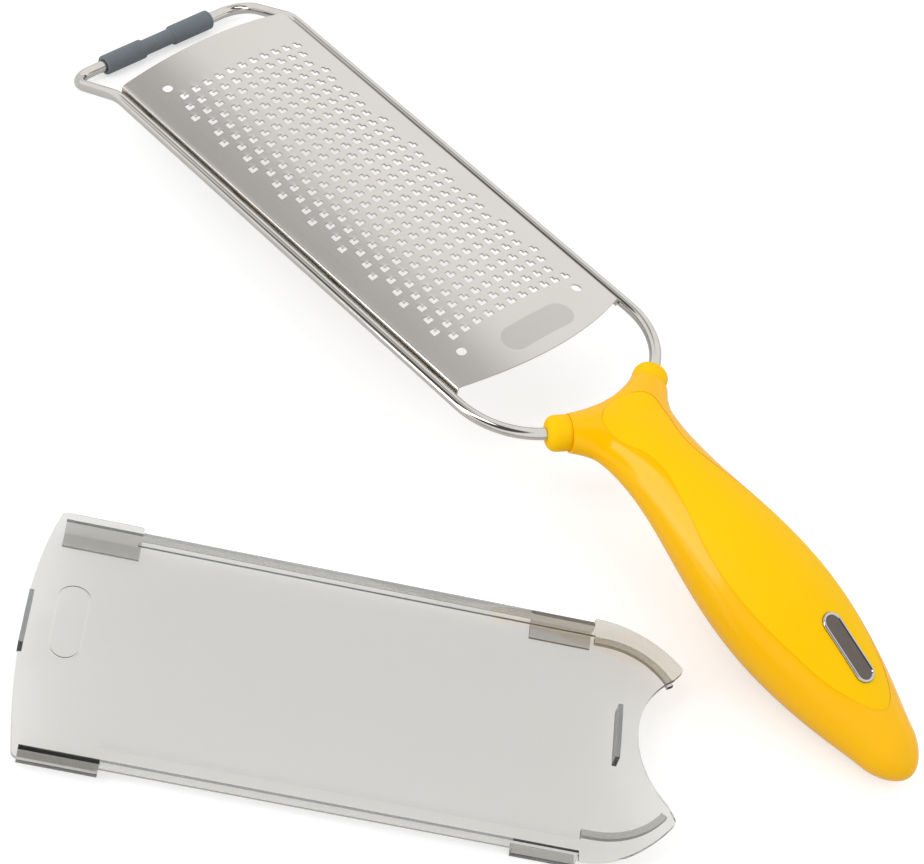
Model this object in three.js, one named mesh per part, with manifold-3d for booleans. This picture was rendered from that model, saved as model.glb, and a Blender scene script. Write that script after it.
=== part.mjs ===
// Fine grater with a slip-on blade cover: an arched, perforated blade welded into a bent wire
// frame, a rubber foot sleeve, a two-material handle with a bright badge, and a clear cover
// lying beside it. Millimetres, +Z up.
//
// The grater and the cover share one working frame: x runs from the tip to the handle, y across,
// and z = 0 is where the blade's arch meets its turned-down edges. The grater is then tipped
// until its sleeve and its handle rest on the table, and the cover is laid down next to it.
import * as THREE from 'three';
import { mergeVertices } from 'three/addons/utils/BufferGeometryUtils.js';
import Module from 'manifold-3d';

// Blade
const bladeWidth = 62;
const bladeLength = 145;
const bladeEndBulge = 6;
const bladeArchRadius = 120;
const sheet = 0.5;
const edgeBendRadius = 0.8;
const edgeDepth = 2;
const holeSize = 2.4;
const holePitch = 4.3;
const holesPerRow = 11;
const rowsPerGroup = 3;
const firstRow = 14.8;
const lastRowMargin = 13;
const roundHole = 3;
const roundHoleMargin = 9.5;
const roundHoleY = 22;

// Wire frame
const wire = 3.4;
const wireSides = 8;
const wireStep = 3;
const railDrop = 2.2;
const railOverrun = 3;
const railBendRadius = 25;
const earAngle = THREE.MathUtils.degToRad(60);
const tangSpacing = 7.7;
const tipBendX = 1;
const tipBendRadius = 12;
const crossbarReach = 21;
const crossbarDrop = 12.7;
const crossbarCorner = 8;

// Foot sleeve
const sleeveLength = 40;
const sleeveDiameter = 6;
const sleeveWaist = 4.8;
const sleeveWaistLength = 11;
const sleeveChamfer = 0.5;

// Welds between the blade's edges and the rails
const weldsPerRail = 4;
const weldInset = 11;
const weldLength = 6;
const weldRadius = 0.55;

// Handle: reach and droop of its spine, and its outline as distance, half width and half height
const handleLength = 125;
const handleDroop = 31.5;
const handleNeck = 21;
const handleTail = 71;
const handleTailSlope = Math.tan(THREE.MathUtils.degToRad(16.3));
const handleOutline = [
  [0, 12.5, 3.4],
  [2, 15, 4.8],
  [6, 15.8, 5.8],
  [12, 14.2, 7.1],
  [20, 12.7, 8.5],
  [32, 13, 10.4],
  [48, 15.3, 13.4],
  [64, 17.1, 15.5],
  [80, 17, 15.6],
  [94, 15, 14],
  [107, 11.9, 11.4],
  [117, 8.9, 8.8],
  [123, 6.8, 6.8],
  [126.5, 4.7, 4.8],
  [128.5, 2.4, 2.5],
];
const handleRings = 24;
const handleSides = 24;
const earRadius = 5;
const earRootRadius = 6.8;
const earSides = 18;
const collarLength = 6.3;
const collarNose = 2.7;
const collarRounding = 2.6;
const restFlat = 0.4;

// Soft inlay on the handle, as distance and half width at the same stations as the outline
const inlayDepth = 2.4;
const inlayOutline = [
  [3.8, 3.8],
  [5, 7],
  [7.3, 9],
  [11.2, 9.4],
  [15.4, 8.7],
  [19.5, 7.2],
  [26, 6.1],
  [34, 7.4],
  [44.2, 10.2],
  [53.4, 12.6],
  [66.6, 14.2],
  [78.6, 13.9],
  [91.1, 12],
  [102.6, 8.9],
  [109, 5.8],
  [112.3, 3.5],
  [113.6, 2],
];
const inlayReach = 30;

// Badge
const badgeLength = 21;
const badgeWidth = 6;
const badgeThickness = 1.4;
const badgeProud = 0.25;
const badgeBevel = 0.4;
const badgeMargin = 10.1;

// Cover
const coverWall = 1.2;
const coverRoofGap = 1.9;
const coverArchRadius = 123;
const coverTipBulge = 4.2;
const clipLength = 21.5;
const clipLip = 2.4;
const hookThickness = 1.1;
const hookReach = 3.4;
const skirtDepth = 2.4;
const beadSize = 0.9;
const beadInset = 4.8;
const flapLength = 16.5;
const stopLength = 16.5;
const stopDepth = 4.6;
const stopMargin = 0.8;
const hornWallDepth = 3.4;
const hornWallTurn = THREE.MathUtils.degToRad(56);
const hornLip = 1.7;
const hornLength = 11.8;
const hornTipWidth = 2;
const hornSwell = new THREE.Vector2(11, 0.4);
const hornTipSwell = new THREE.Vector2(4, 6);
const notchRadius = 26;
const notchBack = 4.2;
const notchCorner = 2;
const capsuleLength = 23;
const capsuleWidth = 8.5;
const capsuleSet = 11.5;
const capsuleDepth = 0.4;

// Fits, and how far cutting tools and joined blocks run past each other
const clearance = 0.3;
const seatGap = 0.35;
const spare = 1;

// Facets of round forms
const sleeveSides = 24;
const boreSides = 12;
const roundHoleSides = 16;
const weldSides = [10, 6];
const archSides = 20;
const bladeArchSides = 11;
const planSegments = 10;
const capsuleSegments = 8;
const restSteps = 40;

// Where the cover lies, from the blade's middle
const coverPlace = new THREE.Vector2(114.5, -112.9);
const coverHeading = THREE.MathUtils.degToRad(43);

// Sizes that follow from those above
const wireRadius = wire / 2;
const halfBlade = bladeWidth / 2;
const railY = halfBlade + seatGap + wireRadius;
const railZ = -railDrop;
const boreRadius = wireRadius + clearance;
const bladeEnd = bladeLength + bladeEndBulge;
const rowCount = Math.floor((bladeLength - firstRow - lastRowMargin) / holePitch) + 1;
const railBendStart = bladeLength + railOverrun;
const inlayEnd = inlayOutline[inlayOutline.length - 1][0];
const badgeAt = inlayEnd - badgeMargin - badgeLength / 2;

const finish = {
  blade: { color: 0xc9c8c4, roughness: 0.3, metalness: 1 },
  wire: { color: 0xd4d3d0, roughness: 0.12, metalness: 1 },
  weld: { color: 0x9a8f82, roughness: 0.5, metalness: 1 },
  rubber: { color: 0x5f6b72, roughness: 0.6, metalness: 0 },
  hard: { color: 0xffab00, roughness: 0.2, metalness: 0 },
  soft: { color: 0xffc400, roughness: 0.5, metalness: 0 },
  chrome: { color: 0xd8d8d8, roughness: 0.06, metalness: 1 },
  smoke: { color: 0xa8a5a0, roughness: 0.12, metalness: 0 },
};

const wasm = await Module();
wasm.setup();

// A closed geometry as a solid that can be joined and cut.
function solid(geometry) {
  const bare = new THREE.BufferGeometry();
  bare.setAttribute('position', geometry.getAttribute('position'));
  bare.setIndex(geometry.getIndex());
  const merged = mergeVertices(bare, 1e-4);
  return new wasm.Manifold(new wasm.Mesh({
    numProp: 3,
    vertProperties: new Float32Array(merged.getAttribute('position').array),
    triVerts: new Uint32Array(merged.getIndex().array),
  }));
}

// A joined or cut solid back as a geometry.
function geometryOf(body) {
  const { vertProperties, triVerts } = body.getMesh();
  const geometry = new THREE.BufferGeometry();
  geometry.setAttribute('position', new THREE.BufferAttribute(new Float32Array(vertProperties), 3));
  geometry.setIndex(new THREE.BufferAttribute(new Uint32Array(triVerts), 1));
  return geometry;
}

function unite(bodies) {
  return bodies.reduce((whole, body) => whole.add(body));
}

// The largest of the separate lumps that a cut left.
function largest(body) {
  return body.decompose().reduce((best, lump) => (lump.volume() > best.volume() ? lump : best));
}

function piece(name, geometry, look) {
  geometry.computeVertexNormals();
  const mesh = new THREE.Mesh(geometry, new THREE.MeshStandardMaterial(look));
  mesh.name = name;
  return mesh;
}

// A box between two corners.
function block(low, high) {
  const size = new THREE.Vector3().subVectors(high, low);
  const middle = new THREE.Vector3().addVectors(low, high).multiplyScalar(0.5);
  return new THREE.BoxGeometry(size.x, size.y, size.z).translate(middle.x, middle.y, middle.z);
}

// A plan outline in x and y, pulled up from one height to another.
function prism(shape, low, high, curveSegments) {
  const options = { depth: high - low, bevelEnabled: false, curveSegments };
  return new THREE.ExtrudeGeometry(shape, options).translate(0, 0, low);
}

// A round-ended strip, centred, with its length along x.
function capsule(length, width) {
  const radius = width / 2;
  const half = length / 2 - radius;
  const shape = new THREE.Shape();
  shape.absarc(half, 0, radius, -Math.PI / 2, Math.PI / 2, false);
  shape.absarc(-half, 0, radius, Math.PI / 2, Math.PI * 1.5, false);
  return shape;
}

// A closed skin over rings of points that follow each other along +x, turning from +y to +z.
function loft(rings) {
  const count = rings[0].length;
  const points = rings.flat();
  const triangles = [];
  for (let ring = 0; ring + 1 < rings.length; ring += 1) {
    for (let k = 0; k < count; k += 1) {
      const a = ring * count + k;
      const b = ring * count + (k + 1) % count;
      triangles.push(a, b, b + count, a, b + count, a + count);
    }
  }
  for (const [ring, turn] of [[0, -1], [rings.length - 1, 1]]) {
    const middle = new THREE.Vector3();
    rings[ring].forEach((point) => middle.addScaledVector(point, 1 / count));
    const centre = points.push(middle) - 1;
    for (let k = 0; k < count; k += 1) {
      const a = ring * count + k;
      const b = ring * count + (k + 1) % count;
      triangles.push(centre, ...(turn > 0 ? [a, b] : [b, a]));
    }
  }
  const geometry = new THREE.BufferGeometry().setFromPoints(points);
  geometry.setIndex(triangles);
  return geometry;
}

// A circular arc in space that leaves its start along one direction and turns towards another.
class Bend extends THREE.Curve {
  constructor(start, along, inward, radius, angle) {
    super();
    Object.assign(this, { start, along, inward, radius, angle });
  }

  getPoint(t, target = new THREE.Vector3()) {
    const turn = this.angle * t;
    return target.copy(this.start)
      .addScaledVector(this.along, this.radius * Math.sin(turn))
      .addScaledVector(this.inward, this.radius * (1 - Math.cos(turn)));
  }
}

// A path of straight runs joined by round bends, from corners that each give a point and a radius.
function bentPath(corners) {
  const path = new THREE.CurvePath();
  let from = corners[0].point;
  for (let k = 1; k + 1 < corners.length; k += 1) {
    const { point, radius } = corners[k];
    const along = new THREE.Vector3().subVectors(point, corners[k - 1].point).normalize();
    const away = new THREE.Vector3().subVectors(corners[k + 1].point, point).normalize();
    const angle = along.angleTo(away);
    const inward = away.clone().addScaledVector(along, -along.dot(away)).normalize();
    const cut = radius * Math.tan(angle / 2);
    const start = point.clone().addScaledVector(along, -cut);
    path.add(new THREE.LineCurve3(from, start));
    path.add(new Bend(start, along, inward, radius, angle));
    from = point.clone().addScaledVector(away, cut);
  }
  path.add(new THREE.LineCurve3(from, corners[corners.length - 1].point));
  return path;
}

// Half of the wire's turn into an ear, the point and direction where an ear starts, and how far
// from there the wire's tang reaches.
const earCut = railBendRadius * Math.tan(earAngle / 2);
function ear(side) {
  const inward = new THREE.Vector3(Math.cos(earAngle), -side * Math.sin(earAngle), 0);
  const corner = new THREE.Vector3(railBendStart + earCut, side * railY, railZ);
  const entry = corner.clone().addScaledVector(inward, earCut);
  const tangReach = (side * entry.y - tangSpacing / 2) / Math.sin(earAngle);
  return { corner, inward, entry, tangReach };
}

function wireFrame() {
  const half = (side) => {
    const { corner, inward, entry, tangReach } = ear(side);
    return [
      { point: entry.clone().addScaledVector(inward, tangReach) },
      { point: corner, radius: railBendRadius },
      { point: new THREE.Vector3(tipBendX, side * railY, railZ), radius: tipBendRadius },
      { point: new THREE.Vector3(-crossbarReach, side * railY, -crossbarDrop), radius: crossbarCorner },
    ];
  };
  const path = bentPath([...half(-1), ...half(1).reverse()]);
  const section = new THREE.Shape();
  for (let k = 0; k <= wireSides; k += 1) {
    const turn = (k / wireSides) * 2 * Math.PI;
    const [x, y] = [wireRadius * Math.cos(turn), wireRadius * Math.sin(turn)];
    if (k === 0) section.moveTo(x, y);
    else section.lineTo(x, y);
  }
  const steps = Math.round(path.getLength() / wireStep);
  return new THREE.ExtrudeGeometry(section, { steps, extrudePath: path, bevelEnabled: false });
}

// The blade's section: the arch in the middle, then on each side a tight bend and a straight edge.
const bendMiddleY = halfBlade - sheet / 2 - edgeBendRadius;
const archAngle = Math.asin(bendMiddleY / (bladeArchRadius - edgeBendRadius));
const archEndY = bladeArchRadius * Math.sin(archAngle);
const bendMiddleZ = -edgeBendRadius * Math.cos(archAngle);

function archPoint(y) {
  const angle = Math.asin(y / bladeArchRadius);
  const z = bladeArchRadius * (Math.cos(angle) - Math.cos(archAngle));
  return { order: y, y, z, normalY: Math.sin(angle), normalZ: Math.cos(angle) };
}

function edgePoints(side) {
  const bend = [0.5, 1].map((share) => {
    const angle = archAngle + (Math.PI / 2 - archAngle) * share;
    const [across, up] = [Math.sin(angle), Math.cos(angle)];
    const y = side * (bendMiddleY + edgeBendRadius * across);
    const z = bendMiddleZ + edgeBendRadius * up;
    return { order: side * (halfBlade + share), y, z, normalY: side * across, normalZ: up };
  });
  const foot = { ...bend[1], order: side * (halfBlade + 2), z: bendMiddleZ - edgeDepth };
  return [...bend, foot];
}

function bladeLine(x, inner) {
  const left = edgePoints(-1).reverse();
  return { x, points: [...left, ...inner.map(archPoint), ...edgePoints(1)] };
}

function blade() {
  const plain = Array.from({ length: bladeArchSides + 1 },
    (_, k) => archEndY * (-1 + (2 * k) / bladeArchSides));
  const lines = [bladeLine(() => 0, plain)];
  for (let row = 0; row < rowCount; row += 1) {
    const shift = (1 - (row % rowsPerGroup)) * (holePitch / rowsPerGroup);
    const inner = [-archEndY];
    for (let k = 0; k < holesPerRow; k += 1) {
      const middle = (k - (holesPerRow - 1) / 2) * holePitch + shift;
      inner.push(middle - holeSize / 2, middle + holeSize / 2);
    }
    inner.push(archEndY);
    const middle = firstRow + row * holePitch;
    lines.push(bladeLine(() => middle - holeSize / 2, inner));
    lines.push({ ...bladeLine(() => middle + holeSize / 2, inner), holesBefore: true });
  }
  const bulge = (y) => bladeLength + bladeEndBulge * (1 - Math.min(1, (y / archEndY) ** 2));
  lines.push(bladeLine(() => bladeLength - bladeEndBulge / 2, plain));
  lines.push(bladeLine(bulge, plain));

  const tops = [];
  const bottoms = [];
  lines.forEach((line) => {
    line.first = tops.length;
    line.points.forEach(({ y, z, normalY, normalZ }) => {
      const half = sheet / 2;
      tops.push(new THREE.Vector3(line.x(y), y + half * normalY, z + half * normalZ));
      bottoms.push(new THREE.Vector3(line.x(y), y - half * normalY, z - half * normalZ));
    });
  });
  const under = tops.length;
  const triangles = [];
  const face = (a, b, c) => triangles.push(a, b, c, under + a, under + c, under + b);
  // A wall below the top edge that its face runs along from a to b.
  const wall = (a, b) => triangles.push(b, a, under + a, b, under + a, under + b);
  for (let k = 0; k + 1 < lines.length; k += 1) {
    const [near, far] = [lines[k], lines[k + 1]];
    const [lastNear, lastFar] = [near.points.length - 1, far.points.length - 1];
    wall(near.first, far.first);
    wall(far.first + lastFar, near.first + lastNear);
    if (far.holesBefore) {
      // The first hole lies after the edge points and the plain strip beside them.
      const start = edgePoints(1).length + 1;
      for (let j = 0; j < lastNear; j += 1) {
        const [a, b] = [near.first + j, far.first + j];
        const isHole = j >= start && j < start + 2 * holesPerRow && (j - start) % 2 === 0;
        if (isHole) {
          wall(a, a + 1);
          wall(b + 1, b);
          wall(b, a);
          wall(a + 1, b + 1);
        } else {
          face(a, b, a + 1);
          face(a + 1, b, b + 1);
        }
      }
      continue;
    }
    let [i, j] = [0, 0];
    while (i < lastNear || j < lastFar) {
      const stepNear = j === lastFar
        || (i < lastNear && near.points[i + 1].order <= far.points[j + 1].order);
      if (stepNear) {
        face(near.first + i, far.first + j, near.first + i + 1);
        i += 1;
      } else {
        face(near.first + i, far.first + j, far.first + j + 1);
        j += 1;
      }
    }
  }
  const [first, last] = [lines[0], lines[lines.length - 1]];
  for (let k = 0; k + 1 < first.points.length; k += 1) wall(first.first + k + 1, first.first + k);
  for (let k = 0; k + 1 < last.points.length; k += 1) wall(last.first + k, last.first + k + 1);
  const geometry = new THREE.BufferGeometry().setFromPoints([...tops, ...bottoms]);
  geometry.setIndex(triangles);

  const drill = (x, y) => {
    const height = 2 * archPoint(0).z + 2 * spare;
    const tool = new THREE.CylinderGeometry(roundHole / 2, roundHole / 2, height, roundHoleSides);
    return solid(tool.rotateX(Math.PI / 2).translate(x, y, 0));
  };
  const lastRow = firstRow + (rowCount - 1) * holePitch;
  return geometryOf(solid(geometry)
    .subtract(drill(roundHoleMargin, -roundHoleY))
    .subtract(drill(lastRow + holePitch + holeSize / 2, -roundHoleY))
    .subtract(drill(lastRow + holePitch + holeSize / 2, roundHoleY)));
}

// A bead in the nook under the blade's edge and the rail.
function weld(x, side) {
  const edgeZ = bendMiddleZ - edgeDepth;
  const reach = wireRadius + weldRadius + clearance / 3;
  const drop = edgeZ - weldRadius - clearance;
  const y = railY - Math.sqrt(reach ** 2 - (drop - railZ) ** 2);
  return new THREE.SphereGeometry(weldRadius, ...weldSides)
    .scale(weldLength / 2 / weldRadius, 1, 1)
    .translate(x, side * y, drop);
}

function footSleeve() {
  const half = sleeveLength / 2;
  const waist = sleeveWaistLength / 2;
  const [outer, thin] = [sleeveDiameter / 2, sleeveWaist / 2];
  const profile = [
    [boreRadius, -half], [outer - sleeveChamfer, -half], [outer, -half + sleeveChamfer],
    [outer, -waist - sleeveChamfer], [thin, -waist], [thin, waist], [outer, waist + sleeveChamfer],
    [outer, half - sleeveChamfer], [outer - sleeveChamfer, half], [boreRadius, half], [boreRadius, -half],
  ].map(([radius, along]) => new THREE.Vector2(radius, along));
  return new THREE.LatheGeometry(profile, sleeveSides);
}

// The handle's spine leaves the ears level and droops towards the tail.
const handleFront = ear(1).entry.x + wireRadius;
const handleEnd = handleFront + handleLength;
const spine = new THREE.CubicBezierCurve3(
  new THREE.Vector3(handleFront, 0, railZ),
  new THREE.Vector3(handleFront + handleNeck, 0, railZ),
  new THREE.Vector3(handleEnd - handleTail, 0, railZ - handleDroop + handleTail * handleTailSlope),
  new THREE.Vector3(handleEnd, 0, railZ - handleDroop),
);
const outline = new THREE.CatmullRomCurve3(handleOutline.map((row) => new THREE.Vector3(...row)));
const outlineEnd = handleOutline[handleOutline.length - 1][0];

// A place on the spine, with the direction that is up for the handle there.
function spineFrame(distance) {
  const share = Math.min(1, Math.max(0, distance / outlineEnd));
  const point = spine.getPointAt(share);
  const along = spine.getTangentAt(share);
  return { point, along, up: new THREE.Vector3(-along.z, 0, along.x) };
}

function ellipse({ point, up }, wide, high, sides) {
  return Array.from({ length: sides }, (_, k) => {
    const turn = (k / sides) * 2 * Math.PI;
    return point.clone()
      .add(new THREE.Vector3(0, wide * Math.cos(turn), 0))
      .addScaledVector(up, high * Math.sin(turn));
  });
}

// The whole outside of the handle, or the same form a little smaller all round.
function handleForm(inset) {
  const rings = outline.getPoints(handleRings)
    .filter(({ x, y, z }) => Math.min(y, z) > inset + spare && x >= inset)
    .map(({ x, y, z }) => ellipse(spineFrame(x), y - inset, z - inset, handleSides));
  const bodies = [solid(loft(rings))];
  for (const side of [-1, 1]) {
    const { inward, entry } = ear(side);
    const root = entry.y / -inward.y;
    const stem = new THREE.CylinderGeometry(
      earRootRadius - inset, earRadius - inset, root - collarLength - inset, earSides, 1);
    stem.translate(0, (root + collarLength + inset) / 2, 0);
    stem.applyQuaternion(new THREE.Quaternion().setFromUnitVectors(new THREE.Vector3(0, 1, 0), inward));
    bodies.push(solid(stem.translate(entry.x, entry.y, entry.z)));
  }
  return unite(bodies);
}

// The band of space above the spine inside the inlay's plan outline, widened by a margin.
function inlayBand(margin) {
  const plan = new THREE.CatmullRomCurve3(inlayOutline.map(([x, wide]) => new THREE.Vector3(x, wide, 0)));
  const rings = plan.getPoints(handleRings).map(({ x, y }) => {
    const { point } = spineFrame(x);
    const share = (2 * x) / inlayEnd - 1;
    const wide = y + margin;
    return [[wide, 0], [wide, inlayReach], [-wide, inlayReach], [-wide, 0]]
      .map(([across, up]) => new THREE.Vector3(point.x + margin * share, across, point.z + up));
  });
  return solid(loft(rings));
}

// The badge's place: the middle of the handle's top, lying along it.
function badgeFrame() {
  const topAt = (distance) => {
    const { point, up } = spineFrame(distance);
    const row = outline.getPoints(10 * handleRings).find(({ x }) => x >= distance);
    return point.addScaledVector(up, row.z);
  };
  const [back, front] = [badgeAt - badgeLength / 4, badgeAt + badgeLength / 4];
  const along = new THREE.Vector3().subVectors(topAt(front), topAt(back)).normalize();
  const up = new THREE.Vector3(-along.z, 0, along.x);
  const across = new THREE.Vector3(0, 1, 0);
  return new THREE.Matrix4().makeBasis(along, across, up).setPosition(topAt(badgeAt));
}

function badge() {
  const shape = capsule(badgeLength - 2 * badgeBevel, badgeWidth - 2 * badgeBevel);
  return new THREE.ExtrudeGeometry(shape, {
    depth: badgeThickness - badgeBevel,
    bevelThickness: badgeBevel,
    bevelSize: badgeBevel,
    bevelSegments: 1,
    curveSegments: capsuleSegments,
  }).translate(0, 0, badgeProud - badgeThickness).applyMatrix4(badgeFrame());
}

function handlePieces(tilt, tableZ) {
  const whole = handleForm(0);
  // In each ear, a socket for the wire and a seat for the collar around it.
  const sockets = [-1, 1].flatMap((side) => {
    const { inward, entry, tangReach } = ear(side);
    const cuts = [
      [boreRadius, tangReach + clearance, boreSides],
      [earRadius + clearance, collarLength - clearance / 2, earSides],
    ];
    return cuts.map(([radius, depth, sides]) => {
      const bore = new THREE.CylinderGeometry(radius, radius, depth, sides).translate(0, depth / 2, 0);
      bore.applyQuaternion(new THREE.Quaternion().setFromUnitVectors(new THREE.Vector3(0, 1, 0), inward));
      return solid(bore.translate(entry.x, entry.y, entry.z));
    });
  });
  const table = new THREE.BoxGeometry(4 * handleLength, 4 * handleLength, handleLength);
  table.translate(handleFront, 0, tableZ - handleLength / 2).rotateY(tilt);
  const recess = largest(inlayBand(clearance).subtract(handleForm(inlayDepth + clearance)));
  const body = whole.subtract(recess).subtract(unite(sockets)).subtract(solid(table));

  const pocketShape = capsule(badgeLength + 2 * clearance, badgeWidth + 2 * clearance);
  const pocketFloor = badgeProud - badgeThickness - badgeBevel - clearance;
  const pocket = prism(pocketShape, pocketFloor, inlayReach, capsuleSegments).applyMatrix4(badgeFrame());
  const inlay = whole.intersect(inlayBand(0)).subtract(handleForm(inlayDepth)).subtract(solid(pocket));
  return { body: geometryOf(body), inlay: geometryOf(largest(inlay)) };
}

function collar() {
  const front = [[boreRadius, 0], [collarNose, 0]];
  const nose = [1, 2, 3].map((k) => {
    const turn = (k / 3) * (Math.PI / 2);
    const radius = collarNose + (earRadius - collarNose) * Math.sin(turn);
    return [radius, collarRounding * (1 - Math.cos(turn))];
  });
  const back = [[earRadius, collarLength - clearance], [boreRadius, collarLength - clearance]];
  const profile = [...front, ...nose, ...back, front[0]]
    .map(([radius, along]) => new THREE.Vector2(radius, along));
  return new THREE.LatheGeometry(profile, earSides);
}

// The cover, in the place where it sits on the blade. Its roof follows an arch over the blade.
const coverTop = archPoint(0).z + sheet / 2 + coverRoofGap + coverWall;
const hookTop = railZ - wireRadius - seatGap;
const coverFoot = hookTop - hookThickness;
const wallInner = railY + wireRadius + seatGap;
const wallOuter = wallInner + coverWall;

function archBand(low, high) {
  const reach = wallOuter + clipLip + coverWall;
  const heightAt = (y) => coverTop - coverArchRadius + Math.sqrt(coverArchRadius ** 2 - y ** 2);
  const across = Array.from({ length: archSides + 1 }, (_, k) => reach * (-1 + (2 * k) / archSides));
  const section = new THREE.Shape();
  across.forEach((y, k) => {
    if (k === 0) section.moveTo(y, heightAt(y) + high);
    else section.lineTo(y, heightAt(y) + high);
  });
  if (low === null) {
    section.lineTo(reach, coverFoot - spare);
    section.lineTo(-reach, coverFoot - spare);
  } else {
    across.reverse().forEach((y) => section.lineTo(y, heightAt(y) + low));
  }
  const length = 2 * hornReach;
  const band = new THREE.ExtrudeGeometry(section, { depth: length, bevelEnabled: false });
  const turned = new THREE.Matrix4().makeBasis(
    new THREE.Vector3(0, 1, 0), new THREE.Vector3(0, 0, 1), new THREE.Vector3(1, 0, 0));
  return solid(band.applyMatrix4(turned).translate(-length / 4, 0, 0));
}

// Positions along the cover that its parts share.
const stopTip = -stopMargin - coverWall;
const stopEnd = bladeEnd + stopMargin;
const clipStart = stopTip + coverTipBulge;
const clipEnd = clipStart + clipLength;
const hornStart = railBendStart - coverWall - wireRadius;
const notchFront = stopEnd + coverWall + notchBack;
const hornReach = notchFront + hornLength;
const notchY = Math.sqrt(notchRadius ** 2 - (notchRadius - hornLength) ** 2);
const hornTipY = notchY + hornTipWidth;
const hornMiddle = new THREE.Vector2(railBendStart, railY - railBendRadius);
const hornWallRadius = railBendRadius - wireRadius - seatGap - coverWall / 2;

function coverPlan() {
  const clipY = wallOuter + clipLip;
  const hornY = wallOuter + hornLip;
  const notchHalf = Math.asin(Math.min(1, (notchY - notchCorner) / notchRadius));
  const root = new THREE.Vector2(hornStart + hornSwell.x, hornY + hornSwell.y);
  const point = new THREE.Vector2(hornReach - hornTipSwell.x, hornTipY + hornTipSwell.y);
  const shape = new THREE.Shape();
  shape.moveTo(clipStart, -clipY);
  shape.lineTo(clipEnd, -clipY);
  shape.lineTo(clipEnd, -wallOuter);
  shape.lineTo(hornStart, -wallOuter);
  shape.lineTo(hornStart, -hornY);
  shape.bezierCurveTo(root.x, -root.y, point.x, -point.y, hornReach, -hornTipY);
  shape.absarc(notchFront + notchRadius, 0, notchRadius, Math.PI + notchHalf, Math.PI - notchHalf, true);
  shape.lineTo(hornReach, hornTipY);
  shape.bezierCurveTo(point.x, point.y, root.x, root.y, hornStart, hornY);
  shape.lineTo(hornStart, wallOuter);
  shape.lineTo(clipEnd, wallOuter);
  shape.lineTo(clipEnd, clipY);
  shape.lineTo(clipStart, clipY);
  shape.quadraticCurveTo(stopTip - coverTipBulge, 0, clipStart, -clipY);
  return shape;
}

function cover() {
  const space = archBand(null, -coverWall / 2);
  const below = (low, high) => solid(block(low, high)).intersect(space);
  const across = (x0, y0, z0, x1, y1, side) => below(
    new THREE.Vector3(x0, Math.min(side * y0, side * y1), z0),
    new THREE.Vector3(x1, Math.max(side * y0, side * y1), coverTop));
  const plan = solid(prism(coverPlan(), coverFoot - spare, coverTop + spare, planSegments));
  const bodies = [archBand(-coverWall, 0).intersect(plan)];
  const edgeZ = coverTop - coverArchRadius + Math.sqrt(coverArchRadius ** 2 - wallOuter ** 2);
  for (const side of [-1, 1]) {
    const sideStart = clipEnd - spare;
    bodies.push(across(sideStart, wallInner, edgeZ - coverWall - skirtDepth, hornStart, wallOuter, side));
    const beadY = wallOuter - beadInset;
    bodies.push(across(sideStart, beadY - beadSize, edgeZ - coverWall, hornStart, beadY, side));
    const hooks = [[clipStart + coverWall, clipEnd], [hornStart - flapLength, hornStart]];
    for (const [from, to] of hooks) {
      bodies.push(across(from, wallInner, coverFoot, to, wallOuter, side));
      const [lipIn, lipOut] = [side * (wallInner - hookReach), side * wallOuter];
      bodies.push(solid(block(
        new THREE.Vector3(from, Math.min(lipIn, lipOut), coverFoot),
        new THREE.Vector3(to, Math.max(lipIn, lipOut), hookTop))));
    }
    const wall = new THREE.Shape();
    const [outer, inner] = [hornWallRadius + coverWall / 2, hornWallRadius - coverWall / 2];
    const end = Math.PI / 2 - hornWallTurn;
    wall.moveTo(hornStart, hornMiddle.y + outer);
    wall.absarc(hornMiddle.x, hornMiddle.y, outer, Math.PI / 2, end, true);
    wall.absarc(hornMiddle.x, hornMiddle.y, inner, end, Math.PI / 2, false);
    wall.lineTo(hornStart, hornMiddle.y + inner);
    const wallFoot = coverTop - 2 * coverWall - hornWallDepth;
    const hanging = prism(wall, wallFoot, coverTop, planSegments);
    if (side < 0) hanging.rotateX(Math.PI).translate(0, 0, wallFoot + coverTop);
    bodies.push(solid(hanging).intersect(space).intersect(plan));
  }
  for (const x of [stopTip, stopEnd]) {
    bodies.push(below(
      new THREE.Vector3(x, -stopLength / 2, coverTop - coverWall - stopDepth),
      new THREE.Vector3(x + coverWall, stopLength / 2, coverTop)));
  }
  const mark = capsule(capsuleLength, capsuleWidth);
  const print = prism(mark, coverFoot, coverTop + spare, capsuleSegments).rotateZ(Math.PI / 2)
    .translate(stopTip + capsuleSet, 0, 0);
  const dent = solid(print).subtract(archBand(null, -capsuleDepth));
  return geometryOf(unite(bodies).subtract(dent));
}

// The tilt at which the sleeve and the handle both meet the table.
function restPose() {
  const points = geometryOf(handleForm(0)).getAttribute('position');
  const lowest = (tilt) => {
    let low = Infinity;
    for (let k = 0; k < points.count; k += 1) {
      low = Math.min(low, points.getX(k) * Math.sin(tilt) + points.getZ(k) * Math.cos(tilt));
    }
    return low;
  };
  const sleeveLow = (tilt) => -crossbarReach * Math.sin(tilt) - crossbarDrop * Math.cos(tilt)
    - (sleeveDiameter / 2) * Math.cos(Math.PI / sleeveSides);
  let [low, high] = [0, earAngle / 2];
  for (let k = 0; k < restSteps; k += 1) {
    const middle = (low + high) / 2;
    if (lowest(middle) + restFlat < sleeveLow(middle)) low = middle;
    else high = middle;
  }
  return { tilt: low, tableZ: sleeveLow(low) };
}

const { tilt, tableZ } = restPose();
const handle = handlePieces(tilt, tableZ);

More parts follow.
